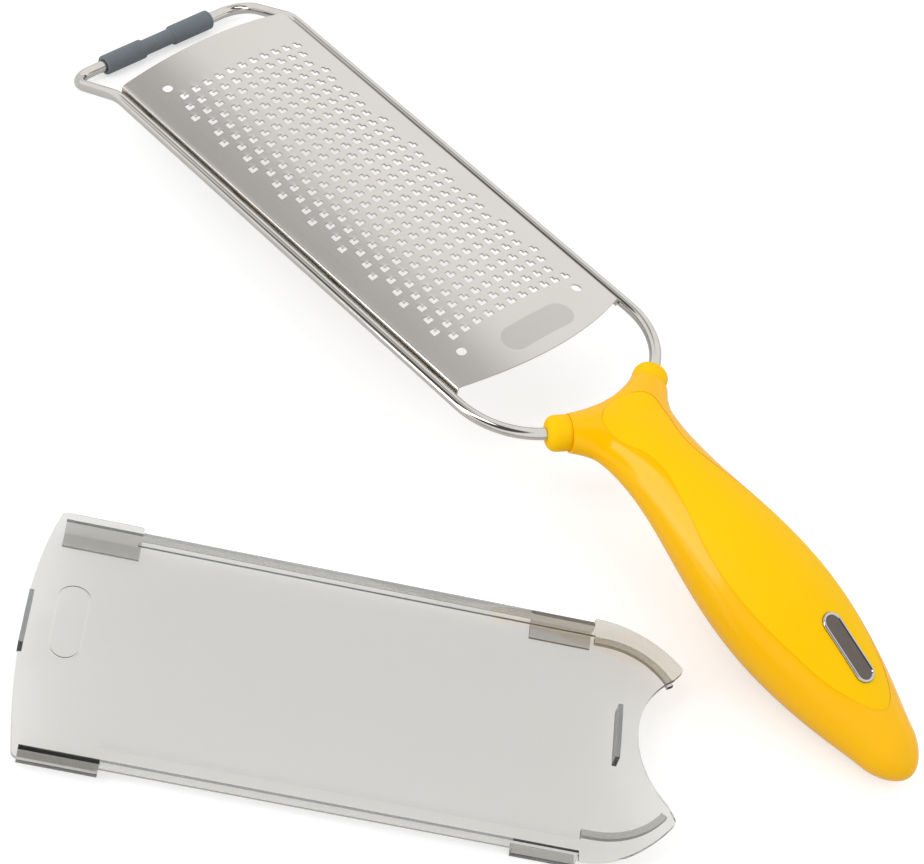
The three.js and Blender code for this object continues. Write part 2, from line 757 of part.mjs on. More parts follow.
const grater = new THREE.Group();
grater.add(piece('blade', blade(), finish.blade));
grater.add(piece('wire_frame', wireFrame(), finish.wire));
for (const [word, side] of [['near', -1], ['far', 1]]) {
  for (let k = 0; k < weldsPerRail; k += 1) {
    const x = weldInset + (k * (bladeLength - 2 * weldInset)) / (weldsPerRail - 1);
    grater.add(piece(`weld_${word}_${k + 1}`, weld(x, side), finish.weld));
  }
  const { inward, entry } = ear(side);
  const ring = piece(`ear_collar_${word}`, collar(), finish.soft);
  ring.quaternion.setFromUnitVectors(new THREE.Vector3(0, 1, 0), inward);
  ring.position.copy(entry);
  grater.add(ring);
}
const sleeve = piece('foot_sleeve', footSleeve(), finish.rubber);
sleeve.position.set(-crossbarReach, 0, -crossbarDrop);
// One flat of the sleeve faces the table.
sleeve.rotation.y = tilt + Math.PI / sleeveSides;
grater.add(sleeve);
grater.add(piece('handle_body', handle.body, finish.hard));
grater.add(piece('soft_inlay', handle.inlay, finish.soft));
grater.add(piece('badge', badge(), finish.chrome));
grater.rotation.y = -tilt;
grater.position.z = -tableZ;

const coverGroup = new THREE.Group();
const coverMesh = piece('blade_cover', cover(), finish.smoke);
coverMesh.position.set(-(clipStart + hornStart) / 2, 0, -coverFoot);
coverGroup.add(coverMesh);
coverGroup.rotation.z = coverHeading;
coverGroup.position.set(bladeLength / 2 + coverPlace.x, coverPlace.y, 0);

const group = new THREE.Group();
group.add(grater, coverGroup);
group.updateMatrixWorld(true);
const box = new THREE.Box3().setFromObject(group, true);
group.position.set(-(box.min.x + box.max.x) / 2, -(box.min.y + box.max.y) / 2, -box.min.z);

export default group;
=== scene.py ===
# %% [markdown]
# # A fine grater and its clear cover
#
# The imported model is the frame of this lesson. Each piece is made again here with the curves,
# rounded edges and finishes that the solids leave out, and is set where the frame has its solid.

# %% Load the frame
import math

import bpy
import numpy as np
from mathutils import Matrix, Vector


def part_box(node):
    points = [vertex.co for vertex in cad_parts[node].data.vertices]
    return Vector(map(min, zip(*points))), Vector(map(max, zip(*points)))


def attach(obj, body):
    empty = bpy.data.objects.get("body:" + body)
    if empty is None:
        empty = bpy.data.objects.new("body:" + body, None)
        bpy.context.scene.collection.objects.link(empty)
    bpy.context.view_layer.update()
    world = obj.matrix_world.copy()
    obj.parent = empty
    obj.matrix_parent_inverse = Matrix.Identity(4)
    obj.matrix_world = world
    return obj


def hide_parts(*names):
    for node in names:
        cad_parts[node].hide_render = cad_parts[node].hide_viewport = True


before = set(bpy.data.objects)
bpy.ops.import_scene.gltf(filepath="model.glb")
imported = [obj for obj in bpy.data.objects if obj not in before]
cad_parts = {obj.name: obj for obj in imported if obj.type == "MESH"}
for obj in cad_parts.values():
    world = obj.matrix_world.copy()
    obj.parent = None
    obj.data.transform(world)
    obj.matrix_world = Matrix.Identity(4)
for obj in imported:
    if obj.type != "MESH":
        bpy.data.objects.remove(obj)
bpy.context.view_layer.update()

# %% [markdown]
# ## A frame to model in
#
# The grater stands tipped on its sleeve and its handle. Modelling is easier before the tipping,
# with x from the tip to the handle, y across, z up and every size in millimetres. The matrix that
# tips it into place could be typed in, but it is read from the welds, which lie on a straight row.

# %% From millimetres on the grater to metres in the frame
MM = 0.001
WELD_INSET = 11
WELD_Z = -3.62


def middle(node):
    low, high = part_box(node)
    return (Vector(low) + Vector(high)) / 2


row_start = (middle("weld_near_1") + middle("weld_far_1")) / 2
row_end = (middle("weld_near_4") + middle("weld_far_4")) / 2
tilt = math.atan2(row_end.z - row_start.z, row_end.x - row_start.x)
tipped = Matrix.Rotation(-tilt, 4, "Y") @ Matrix.Scale(MM, 4)
GRATER = Matrix.Translation(row_start - tipped @ Vector((WELD_INSET, 0, WELD_Z))) @ tipped
print(f"grater tipped by {math.degrees(tilt):.2f} degrees")

# %% [markdown]
# ## Camera
#
# The view is from above the handle's side, with the camera rolled so that the grater runs from the
# upper left to the lower right. A long lens keeps the far end almost as large as the near one.

# %% Camera
CAMERA_AT = Vector((0.3252, -0.4165, 0.6513))
CAMERA_AIM = Vector((0.0146, 0.0435, 0.0200))
CAMERA_ROLL = math.radians(18.27)
CAMERA_LENS = 121.4

scene = bpy.context.scene
lens = bpy.data.cameras.new("camera")
lens.lens = CAMERA_LENS
camera = bpy.data.objects.new("camera", lens)
turn = (CAMERA_AIM - CAMERA_AT).to_track_quat("-Z", "Y").to_matrix().to_4x4()
camera.matrix_world = Matrix.Translation(CAMERA_AT) @ turn @ Matrix.Rotation(CAMERA_ROLL, 4, "Z")
scene.collection.objects.link(camera)
scene.camera = camera
scene.view_settings.view_transform = "Standard"
print("camera", [round(v, 3) for v in camera.location])

# %% [markdown]
# ## Helpers for materials
#
# A material is a small graph. One function adds a node, sets its fields and fills its sockets,
# with a plain value or with another node's output. Colours are written as on a paint card, in sRGB.
# A colour mix has its share at input 0, its colours at inputs 6 and 7, and its result at output 2.

# %% Colours and nodes


def linear(code):
    parts = [int(code[k:k + 2], 16) / 255 for k in (1, 3, 5)]
    return [v / 12.92 if v <= 0.04045 else ((v + 0.055) / 1.055) ** 2.4 for v in parts] + [1.0]


def add_node(owner, kind, inputs=None, **fields):
    tree = owner.node_tree
    made = tree.nodes.new("ShaderNode" + kind)
    for name, value in fields.items():
        setattr(made, name, value)
    for name, value in (inputs or {}).items():
        if isinstance(value, bpy.types.NodeSocket):
            tree.links.new(value, made.inputs[name])
        else:
            made.inputs[name].default_value = value
    return made


def new_material(name):
    made = bpy.data.materials.new(name)
    made.use_nodes = True
    made.node_tree.nodes.clear()
    return made


def shade_with(material, shader, volume=None):
    links = {"Surface": shader.outputs[0]}
    if volume:
        links["Volume"] = volume.outputs[0]
    add_node(material, "OutputMaterial", links)
    print("material", material.name)
    return material


# %% [markdown]
# ## Stage and light
#
# The floor is white paper. It shows as white to the camera and through the cover, as a pale grey in
# the metal, and a little darker where the object shades it. Around it stands a white tent of light.
# It is dark at its opening in front and at a small gap overhead, and steel needs such dark places to
# look like steel. A tall strip box by the opening draws a bright line along the handle and the wire.

# %% Floor
FLOOR_SIZE = 8.0
FLOOR_DROP = 0.0002
# What the paper adds to its own lit grey for each kind of ray. In the metal a full white would wash
# out the streaks.
FLOOR_GLOW = {"Is Camera Ray": 0.55, "Is Glossy Ray": 0.15, "Is Transmission Ray": 0.8}

paper = new_material("white paper sweep")
seen = add_node(paper, "LightPath")
glow = 0.0
for ray, strength in FLOOR_GLOW.items():
    share = add_node(paper, "Math", {0: seen.outputs[ray], 1: strength}, operation="MULTIPLY")
    glow = add_node(paper, "Math", {0: share.outputs[0], 1: glow}, operation="MAXIMUM").outputs[0]
white = add_node(paper, "Emission", {"Color": linear("#FFFFFF"), "Strength": glow})
matte = add_node(paper, "BsdfDiffuse", {"Color": linear("#CCCCCC")})
shade_with(paper, add_node(paper, "AddShader", {0: white.outputs[0], 1: matte.outputs[0]}))

half = FLOOR_SIZE / 2
sheet = bpy.data.meshes.new("floor")
floor_corners = [(x * half, y * half, -FLOOR_DROP) for x, y in ((-1, -1), (1, -1), (1, 1), (-1, 1))]
sheet.from_pydata(floor_corners, [], [(0, 1, 2, 3)])
sheet.materials.append(paper)
floor = bpy.data.objects.new("floor", sheet)
scene.collection.objects.link(floor)
print("floor", FLOOR_SIZE, "m wide")

# %% Tent of light
TENT_LEVEL = 1.08
# A dark patch: its direction, the angle in degrees where it has ended, the angle where it starts to
# fade, and the share of the light that is left in it.
DARK_PATCHES = {
    "opening in front": ((-0.05, -0.6, 0.8), 40, 30, 0.1),
    "gap overhead": ((-0.6, 0.15, 0.785), 18, 6, 0.42),
}

tent = bpy.data.worlds.new("light tent")
tent.use_nodes = True
tent.node_tree.nodes.clear()
direction = add_node(tent, "TexCoord").outputs["Generated"]
level = TENT_LEVEL
for way, ends, fades, left in DARK_PATCHES.values():
    toward = add_node(tent, "VectorMath", {0: direction, 1: way}, operation="DOT_PRODUCT")
    patch = add_node(tent, "MapRange", {
        "Value": toward.outputs["Value"], "From Min": math.cos(math.radians(ends)),
        "From Max": math.cos(math.radians(fades)), "To Min": 1.0, "To Max": left},
        interpolation_type="SMOOTHSTEP")
    level = add_node(tent, "Math", {0: level, 1: patch.outputs[0]}, operation="MULTIPLY").outputs[0]
sky = add_node(tent, "Background", {"Color": linear("#FFFFFF"), "Strength": level})
add_node(tent, "OutputWorld", {"Surface": sky.outputs[0]})
scene.world = tent
print("tent with", " and ".join(DARK_PATCHES))

# %% Strip box
STRIP_AT, STRIP_AIM = Vector((-0.31, -0.84, 0.72)), Vector((0.075, 0.066, 0.03))
STRIP_SIZE = (0.34, 1.74)
STRIP_WATTS = 8.4

lamp = bpy.data.lights.new("strip box", "AREA")
lamp.shape = "RECTANGLE"
lamp.size, lamp.size_y = STRIP_SIZE
lamp.energy = STRIP_WATTS
strip = bpy.data.objects.new("strip box", lamp)
strip.location = STRIP_AT
strip.rotation_euler = (STRIP_AIM - STRIP_AT).to_track_quat("-Z", "Y").to_euler()
scene.collection.objects.link(strip)
print("strip box of", STRIP_WATTS, "W")

# %% [markdown]
# ## Helpers for shapes
#
# Most pieces here are skins: rows of points joined by four-sided faces. Blender's own primitives
# would give plain stand-ins, so the rows come from each piece's real section. A helper turns points
# and faces into an object, and another cuts or joins solids and keeps the result as a mesh.

# %% Skins and solids


def new_object(name, points, faces):
    mesh = bpy.data.meshes.new(name)
    mesh.from_pydata([tuple(point) for point in points], [], faces)
    mesh.validate()
    made = bpy.data.objects.new(name, mesh)
    scene.collection.objects.link(made)
    return made


def skin(rings, closed_ends=True):
    count = len(rings[0])
    points = [point for ring in rings for point in ring]
    faces = []
    for ring in range(len(rings) - 1):
        for k in range(count):
            a, b = ring * count + k, ring * count + (k + 1) % count
            faces.append((a, b, b + count, a + count))
    if closed_ends:
        faces.append(tuple(reversed(range(count))))
        faces.append(tuple(range(len(points) - count, len(points))))
    return points, faces


def thickened(tops, bottoms, faces):
    """A solid between two copies of an open surface, with a wall along every free edge."""
    below = len(tops)
    edges = {(face[k], face[(k + 1) % len(face)]) for face in faces for k in range(len(face))}
    walls = [(b, a, a + below, b + below) for a, b in sorted(edges) if (b, a) not in edges]
    undersides = [tuple(k + below for k in reversed(face)) for face in faces]
    return [*tops, *bottoms], [*faces, *undersides, *walls]


# %% Cuts and placing
SMOOTH_ANGLE = math.radians(40)


def settle(piece):
    """Turns the modifiers' result into the piece's own mesh."""
    graph = bpy.context.evaluated_depsgraph_get()
    made = bpy.data.meshes.new_from_object(piece.evaluated_get(graph))
    piece.modifiers.clear()
    piece.data = made


def combine(piece, tools, operation):
    for tool in tools:
        change = piece.modifiers.new(tool.name, "BOOLEAN")
        change.operation = operation
        change.solver = "EXACT"
        change.object = tool
    settle(piece)
    for tool in tools:
        bpy.data.objects.remove(tool)


def place(piece, matrix, material, body, nodes=(), smooth=SMOOTH_ANGLE):
    """Moves a finished mesh into the frame, gives it its finish and ties it to its body."""
    piece.data.transform(matrix)
    piece.data.materials.clear()
    piece.data.materials.append(material)
    if piece.type == "MESH":
        piece.data.shade_smooth()
        piece.data.set_sharp_from_angle(angle=smooth)
    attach(piece, body)
    if nodes:
        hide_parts(*nodes)
    size = len(piece.data.polygons) if piece.type == "MESH" else len(piece.data.splines[0].points)
    print("piece", piece.name, "with", size, "faces" if piece.type == "MESH" else "path points")


# %% [markdown]
# ## Stainless sheet
#
# The blade is cold-rolled stainless steel, brushed to a satin along its length. Brushing leaves
# fine scratches that stretch a reflection across them, so the sheet goes softly from dark to light.
# The scratches are about 0.05 mm apart, too fine to show, and are drawn 0.4 mm apart.

# %% Satin stainless sheet
SCRATCH_PITCH = 0.4 * MM
SCRATCH_LENGTH = 30 * MM

satin = new_material("stainless sheet, satin brushed")
spot = add_node(satin, "TexCoord").outputs["Object"]
drawn = add_node(satin, "Mapping", {
    "Vector": spot, "Scale": (1 / SCRATCH_LENGTH, 1 / SCRATCH_PITCH, 1 / SCRATCH_LENGTH)})
scratches = add_node(satin, "TexNoise", {"Vector": drawn.outputs[0], "Scale": 1.0, "Detail": 3.0})
clouds = add_node(satin, "TexNoise", {"Vector": spot, "Scale": 1 / (25 * MM), "Detail": 2.0})
gloss = add_node(satin, "MapRange", {"Value": scratches.outputs[0], "From Min": 0.3, "From Max": 0.7,
                                     "To Min": 0.24, "To Max": 0.27})
tone = add_node(satin, "Mix", {0: clouds.outputs[0], 6: linear("#D8D4CF"), 7: linear("#D1CDC7")},
                data_type="RGBA")
grain = add_node(satin, "Bump", {"Height": scratches.outputs[0], "Strength": 0.01, "Distance": 0.02 * MM})
shade_with(satin, add_node(satin, "BsdfPrincipled", {
    "Base Color": tone.outputs[2], "Metallic": 1.0, "Roughness": gloss.outputs[0], "Normal": grain.outputs[0],
    "Anisotropic": 0.3}))

# %% [markdown]
# ## Blade
#
# The blade is a thin sheet bent to a shallow arch with its long edges turned down, and punched
# with rows of small square holes. Each row is moved by a third of the spacing, so that three rows
# repeat. Each hole keeps a pointed tooth in one corner, bent up a little, and that is what cuts.
# A flat sheet with a picture of holes would not show their walls. Here one grid of lines runs
# through every hole's edges, the faces inside the holes are left out apart from the teeth, and the
# grid is thickened.

# %% Blade section
BLADE_WIDTH = 62
BLADE_LENGTH = 145
END_BULGE = 6
ARCH_RADIUS = 120
SHEET = 0.5
EDGE_BEND = 0.8
EDGE_DEPTH = 2
BEND_STEPS = 6

bend_y = BLADE_WIDTH / 2 - SHEET / 2 - EDGE_BEND
arch_angle = math.asin(bend_y / (ARCH_RADIUS - EDGE_BEND))
arch_end = ARCH_RADIUS * math.sin(arch_angle)


def arch_point(y):
    angle = math.asin(y / ARCH_RADIUS)
    return y, ARCH_RADIUS * (math.cos(angle) - math.cos(arch_angle)), math.sin(angle), math.cos(angle)


def edge_points(side):
    points = []
    for k in range(1, BEND_STEPS + 1):
        angle = arch_angle + (math.pi / 2 - arch_angle) * k / BEND_STEPS
        across, up = math.sin(angle), math.cos(angle)
        y, z = bend_y + EDGE_BEND * across, EDGE_BEND * (up - math.cos(arch_angle))
        points.append((side * y, z, side * across, up))
    y, z, across, up = points[-1]
    return [*points, (y, z - EDGE_DEPTH, across, up)]


print(f"blade arch {arch_point(0)[1]:.2f} mm high")

# %% Blade holes
HOLE = 2.4
PITCH = 4.3
HOLES_PER_ROW = 11
FIRST_ROW = 14.8
ROWS = 28
ROW_GROUP = 3
MARGIN_STEPS = 6
END_STEPS = 5

row_shift = PITCH / ROW_GROUP
shifts = [(1 - k) * row_shift for k in range(ROW_GROUP)]
columns = [(k - (HOLES_PER_ROW - 1) / 2) * PITCH for k in range(HOLES_PER_ROW)]
last_edge = columns[-1] + row_shift + HOLE / 2
lines_y = set()
for column in (columns[0] - PITCH, *columns, columns[-1] + PITCH):
    for shift in shifts:
        lines_y |= {round(column + shift + edge, 4) for edge in (-HOLE / 2, HOLE / 2)}
lines_y = {y for y in lines_y if abs(y) <= round(last_edge, 4)}
margin_y = np.linspace(max(lines_y), arch_end, MARGIN_STEPS + 1)[1:]
lines_y = sorted(lines_y | {round(float(y), 4) for y in margin_y} | {round(float(-y), 4) for y in margin_y})
row_middles = [FIRST_ROW + k * PITCH for k in range(ROWS)]
last_row = row_middles[-1]
lines_x = [*np.linspace(0, row_middles[0] - HOLE / 2, END_STEPS + 1)[:-1]]
for row in row_middles:
    lines_x += [row - HOLE / 2, row + HOLE / 2 - row_shift, row - HOLE / 2 + row_shift, row + HOLE / 2]
lines_x += [*np.linspace(last_row + HOLE / 2, BLADE_LENGTH, END_STEPS + 1)[1:]]
section = [*reversed(edge_points(-1)), *(arch_point(y) for y in lines_y), *edge_points(1)]
print("blade grid", len(lines_x), "by", len(section))

# %% Blade sheet


def blade_x(x, y):
    """The rows are straight; past the last one, the lines swell towards the bulged end."""
    share = max(0.0, (x - last_row - HOLE / 2) / (BLADE_LENGTH - last_row - HOLE / 2))
    return x + share * END_BULGE * (1 - min(1.0, (y / arch_end) ** 2))


def in_hole(x, y):
    row = round((x - FIRST_ROW) / PITCH)
    if not 0 <= row < ROWS or abs(x - row_middles[row]) > HOLE / 2:
        return False
    return any(abs(y - column - shifts[row % ROW_GROUP]) < HOLE / 2 for column in columns)


def face_of(x, half_thickness):
    return [(blade_x(x, y), y + half_thickness * across, z + half_thickness * up)
            for y, z, across, up in section]


tops = [point for x in lines_x for point in face_of(x, SHEET / 2)]
bottoms = [point for x in lines_x for point in face_of(x, -SHEET / 2)]
wide = len(section)
faces = []
for i in range(len(lines_x) - 1):
    for j in range(wide - 1):
        x_mid = (lines_x[i] + lines_x[i + 1]) / 2
        y_mid = (section[j][0] + section[j + 1][0]) / 2
        if not in_hole(x_mid, y_mid):
            a = i * wide + j
            faces.append((a, a + wide, a + wide + 1, a + 1))
print("faces outside the holes:", len(faces))

# %% Teeth in the holes
TOOTH_REACH = 1.35
TOOTH_LIFT = 0.3

# Four lines of the grid cross each hole both ways: its edges and two between them. The tooth fills
# the corner where the edge on the tip's side meets the far edge.
first_arch_line = BEND_STEPS + 1
for row, row_x in enumerate(row_middles):
    tip_line = lines_x.index(row_x - HOLE / 2)
    for column in columns:
        hole_y = column + shifts[row % ROW_GROUP]
        near_line = first_arch_line + lines_y.index(round(hole_y - HOLE / 2, 4))
        first, second, third = ((tip_line + k) * wide + near_line for k in range(3))
        tip, inner = third + 1, second + 2
        y, z, across, up = arch_point(hole_y + HOLE / 2 - TOOTH_REACH)
        for points, half_thickness in ((tops, SHEET / 2), (bottoms, -SHEET / 2)):
            rise = half_thickness + TOOTH_LIFT
            points[tip] = (row_x - HOLE / 2 + TOOTH_REACH, y + rise * across, z + rise * up)
            inner_x, inner_y, inner_z = points[inner]
            points[inner] = (inner_x, inner_y + TOOTH_LIFT / 2 * across, inner_z + TOOTH_LIFT / 2 * up)
        faces.append((first + 2, inner, second + 3, first + 3))
        faces.append((first + 2, tip, inner))
        faces.append((inner, tip, second + 3))
print("teeth:", ROWS * HOLES_PER_ROW)

# %% Solid sheet, without the points that no face uses
used = sorted({k for face in faces for k in face})
number = {k: n for n, k in enumerate(used)}
faces = [tuple(number[k] for k in face) for face in faces]
blade = new_object("blade_sheet", *thickened([tops[k] for k in used], [bottoms[k] for k in used], faces))
print("blade sheet:", len(blade.data.polygons), "faces")

# %% Round holes at the blade's corners
ROUND_HOLE = 3
ROUND_HOLE_Y = 22
ROUND_HOLE_TIP = 9.5
DRILL_SIDES = 32
DRILL_REACH = 10

drills = []
round_back = last_row + PITCH + HOLE / 2
for x, y in ((ROUND_HOLE_TIP, -ROUND_HOLE_Y), (round_back, -ROUND_HOLE_Y), (round_back, ROUND_HOLE_Y)):
    circle = [(x + ROUND_HOLE / 2 * math.cos(a), y + ROUND_HOLE / 2 * math.sin(a))
              for a in np.linspace(0, 2 * math.pi, DRILL_SIDES, endpoint=False)]
    levels = (-DRILL_REACH, DRILL_REACH)
    drills.append(new_object("drill", *skin([[(px, py, z) for px, py in circle] for z in levels])))
combine(blade, drills, "DIFFERENCE")
place(blade, GRATER, satin, "grater", ["blade"])

# %% [markdown]
# ## Etched mark
#
# Near the handle the sheet carries a round-ended patch, frosted by etching, which looks a little
# darker than the brushed steel around it. It is a thin skin of nested rings that follows the arch,
# because a cut into the sheet would break its grid. The etched pits are about 0.03 mm wide, too fine
# to show, and are drawn 0.35 mm wide.

# %% Etched steel
frosted = new_material("stainless sheet, etched")
spot = add_node(frosted, "TexCoord").outputs["Object"]
pits = add_node(frosted, "TexNoise", {"Vector": spot, "Scale": 1 / (0.35 * MM), "Detail": 2.0})
pitted = add_node(frosted, "Bump", {"Height": pits.outputs[0], "Strength": 0.2, "Distance": 0.02 * MM})
tone = add_node(frosted, "Mix", {0: pits.outputs[0], 6: linear("#C2BEBA"), 7: linear("#CBC8C4")},
                data_type="RGBA")
shade_with(frosted, add_node(frosted, "BsdfPrincipled", {
    "Base Color": tone.outputs[2], "Metallic": 1.0, "Roughness": 0.42, "Normal": pitted.outputs[0]}))

# %% Etched patch
MARK_LENGTH, MARK_WIDTH = 25, 8.5
MARK_X, MARK_Y = 142.2, 1.0
MARK_RISE = 0.02
MARK_RINGS = 6
MIDDLE_STRIP = 0.04


def capsule(length, width, steps=16, runs=12):
    """A round-ended strip along x, as points around it, with its straight sides in short runs."""
    reach, radius = (length - width) / 2, width / 2
    turns = np.linspace(-math.pi / 2, math.pi / 2, steps)
    bend = [(reach + radius * math.cos(a), radius * math.sin(a)) for a in turns]
    side = [(x, radius) for x in np.linspace(reach, -reach, runs + 1)[1:-1]]
    return [*bend, *side, *((-x, -y) for x, y in (*bend, *side))]


mark_rings = []
mark_lift = SHEET / 2 + MARK_RISE
for inset in np.linspace(0, (MARK_WIDTH - MIDDLE_STRIP) / 2, MARK_RINGS):
    ring = []
    for along, across in capsule(MARK_LENGTH - 2 * inset, MARK_WIDTH - 2 * inset):
        y, z, ny, nz = arch_point(MARK_Y + along)
        ring.append((MARK_X - across, y + mark_lift * ny, z + mark_lift * nz))
    mark_rings.append(ring)
mark_points, mark_faces = skin(mark_rings, closed_ends=False)
middle_strip = tuple(range(len(mark_points) - len(ring), len(mark_points)))
mark = new_object("blade_mark", mark_points, [*mark_faces, middle_strip])
place(mark, GRATER, frosted, "grater")

# %% [markdown]
# ## Polished wire
#
# The frame is drawn stainless wire, polished bright. It mirrors the tent as long streaks of light
# and dark. The polish leaves a faint haze and shallow waves about 6 mm long, which break up the
# mirror a little.

# %% Polished wire
polished = new_material("stainless wire, drawn and polished")
spot = add_node(polished, "TexCoord").outputs["Object"]
haze = add_node(polished, "TexNoise", {"Vector": spot, "Scale": 1 / (6 * MM), "Detail": 4.0})
gloss = add_node(polished, "MapRange", {"Value": haze.outputs[0], "From Min": 0.3, "From Max": 0.7,
                                        "To Min": 0.06, "To Max": 0.13})
tone = add_node(polished, "Mix", {0: haze.outputs[0], 6: linear("#D6D3CE"), 7: linear("#C9C5BE")},
                data_type="RGBA")
ripple = add_node(polished, "Bump", {"Height": haze.outputs[0], "Strength": 0.05, "Distance": 0.05 * MM})
shade_with(polished, add_node(polished, "BsdfPrincipled", {
    "Base Color": tone.outputs[2], "Metallic": 1.0, "Roughness": gloss.outputs[0],
    "Normal": ripple.outputs[0]}))

# %% [markdown]
# ## Wire frame
#
# One wire makes the whole frame: out of one ear of the handle, along the blade, down and across
# under the tip, and back. A curve with a round bevel is the plain way to make a wire. Its path is
# straight runs and true arcs, as a bending machine makes them.

# %% Wire path
WIRE_RADIUS = 1.7
SEAT_GAP = 0.35
RAIL_Y = BLADE_WIDTH / 2 + SEAT_GAP + WIRE_RADIUS
RAIL_Z = -2.2
RAIL_BEND_START = BLADE_LENGTH + 3
RAIL_BEND_RADIUS = 25
EAR_ANGLE = math.radians(60)
TANG_SPACING = 7.7
TIP_BEND_X, TIP_BEND_RADIUS = 1, 12
CROSSBAR_REACH, CROSSBAR_DROP, CROSSBAR_CORNER = 21, 12.7, 8
ARC_STEP = math.radians(4)

ear_cut = RAIL_BEND_RADIUS * math.tan(EAR_ANGLE / 2)


def ear(side):
    """Where the wire's bend ends at one ear, the way it goes on, and how far it reaches."""
    inward = Vector((math.cos(EAR_ANGLE), -side * math.sin(EAR_ANGLE), 0))
    corner = Vector((RAIL_BEND_START + ear_cut, side * RAIL_Y, RAIL_Z))
    entry = corner + inward * ear_cut
    return corner, inward, entry, (side * entry.y - TANG_SPACING / 2) / math.sin(EAR_ANGLE)


def bent_path(corners):
    """Straight runs between corners, each corner rounded by an arc of its radius."""
    points = [corners[0][0]]
    for (before, _), (corner, radius), (after, _) in zip(corners, corners[1:], corners[2:]):
        along, away = (corner - before).normalized(), (after - corner).normalized()
        angle = along.angle(away)
        inward = (away - along * along.dot(away)).normalized()
        start = corner - along * radius * math.tan(angle / 2)
        steps = max(2, math.ceil(angle / ARC_STEP))
        for k in range(steps + 1):
            turned = angle * k / steps
            points.append(start + along * radius * math.sin(turned)
                          + inward * radius * (1 - math.cos(turned)))
    return [*points, corners[-1][0]]


def half_frame(side):
    corner, inward, entry, reach = ear(side)
    return [(entry + inward * reach, 0), (corner, RAIL_BEND_RADIUS),
            (Vector((TIP_BEND_X, side * RAIL_Y, RAIL_Z)), TIP_BEND_RADIUS),
            (Vector((-CROSSBAR_REACH, side * RAIL_Y, -CROSSBAR_DROP)), CROSSBAR_CORNER)]


# %% Bent wire
wire_points = bent_path([*half_frame(-1), *reversed(half_frame(1))])
curve = bpy.data.curves.new("wire_frame_bent", "CURVE")
curve.dimensions = "3D"
curve.bevel_depth = WIRE_RADIUS * MM
curve.bevel_resolution = 6
curve.use_fill_caps = True
line = curve.splines.new("POLY")
line.points.add(len(wire_points) - 1)
for point, target in zip(line.points, wire_points):
    point.co = (*(GRATER @ target), 1)
wire = bpy.data.objects.new("wire_frame_bent", curve)
scene.collection.objects.link(wire)
place(wire, Matrix.Identity(4), polished, "grater", ["wire_frame"])

# %% [markdown]
# ## Welds
#
# The blade's edges are welded to the rails from below. Heat leaves such beads dull, with straw and
# brown tints. Each bead is a short skin with the ripples that the weld pool leaves as it moves on.

# %% Heat-tinted weld metal
tinted = new_material("stainless weld, heat tinted")
spot = add_node(tinted, "TexCoord").outputs["Object"]
heat = add_node(tinted, "TexNoise", {"Vector": spot, "Scale": 1 / (1.5 * MM), "Detail": 3.0})
tints = add_node(tinted, "ValToRGB", {"Fac": heat.outputs[0]})
for stop, code in zip((0.35, 0.5, 0.65), ("#8C8A88", "#A08B62", "#6B5A52")):
    tints.color_ramp.elements.new(stop).color = linear(code)
rough = add_node(tinted, "Bump", {"Height": heat.outputs[0], "Strength": 0.3, "Distance": 0.05 * MM})
shade_with(tinted, add_node(tinted, "BsdfPrincipled", {
    "Base Color": tints.outputs[0], "Metallic": 1.0, "Roughness": 0.45, "Normal": rough.outputs[0]}))

# %% Weld beads
WELD_LENGTH = 6
WELD_RADIUS = 0.55
WELD_RIPPLES, RIPPLE_DEPTH = 5, 0.07
WELD_SIDES = 12
WELD_RINGS = 25

for word in ("near", "far"):
    for k in range(1, 5):
        node = f"weld_{word}_{k}"
        place_at = GRATER.inverted() @ middle(node)
        rings = []
        for share in np.linspace(0.01, 0.99, WELD_RINGS):
            ripple = 1 - RIPPLE_DEPTH * (1 - math.cos(2 * math.pi * WELD_RIPPLES * share))
            swell = math.sqrt(1 - (2 * share - 1) ** 2) * ripple
            rings.append([(place_at.x + (share - 0.5) * WELD_LENGTH,
                           place_at.y + WELD_RADIUS * swell * math.cos(a),
                           place_at.z + WELD_RADIUS * swell * math.sin(a))
                          for a in np.linspace(0, 2 * math.pi, WELD_SIDES, endpoint=False)])
        weld = new_object(f"weld_bead_{word}_{k}", *skin(rings))
        place(weld, GRATER, tinted, "grater", [node])

# %% [markdown]
# ## Foot sleeve
#
# A grey rubber sleeve on the crossbar keeps the grater from sliding. It has two thick ends and a
# thinner waist. Such a form is turned: a profile with small rounded corners goes round the wire.
# Moulded rubber is dull, and a bloom on it pales it in soft patches. Its pores are about 0.05 mm
# wide, too fine to show, and are drawn 0.4 mm wide.

# %% Moulded rubber
rubber = new_material("rubber, moulded grey")
spot = add_node(rubber, "TexCoord").outputs["Object"]
bloom = add_node(rubber, "TexNoise", {"Vector": spot, "Scale": 1 / (4 * MM), "Detail": 4.0})
pores = add_node(rubber, "TexNoise", {"Vector": spot, "Scale": 1 / (0.4 * MM), "Detail": 2.0})
tone = add_node(rubber, "Mix", {0: bloom.outputs[0], 6: linear("#636C71"), 7: linear("#717A80")},
                data_type="RGBA")
skin_bump = add_node(rubber, "Bump", {"Height": pores.outputs[0], "Strength": 0.25, "Distance": 0.03 * MM})
shade_with(rubber, add_node(rubber, "BsdfPrincipled", {
    "Base Color": tone.outputs[2], "Roughness": 0.58, "IOR": 1.52, "Normal": skin_bump.outputs[0]}))

# %% Rounded profiles and turned pieces
LATHE_SIDES = 48
MOST_CUT = 0.45


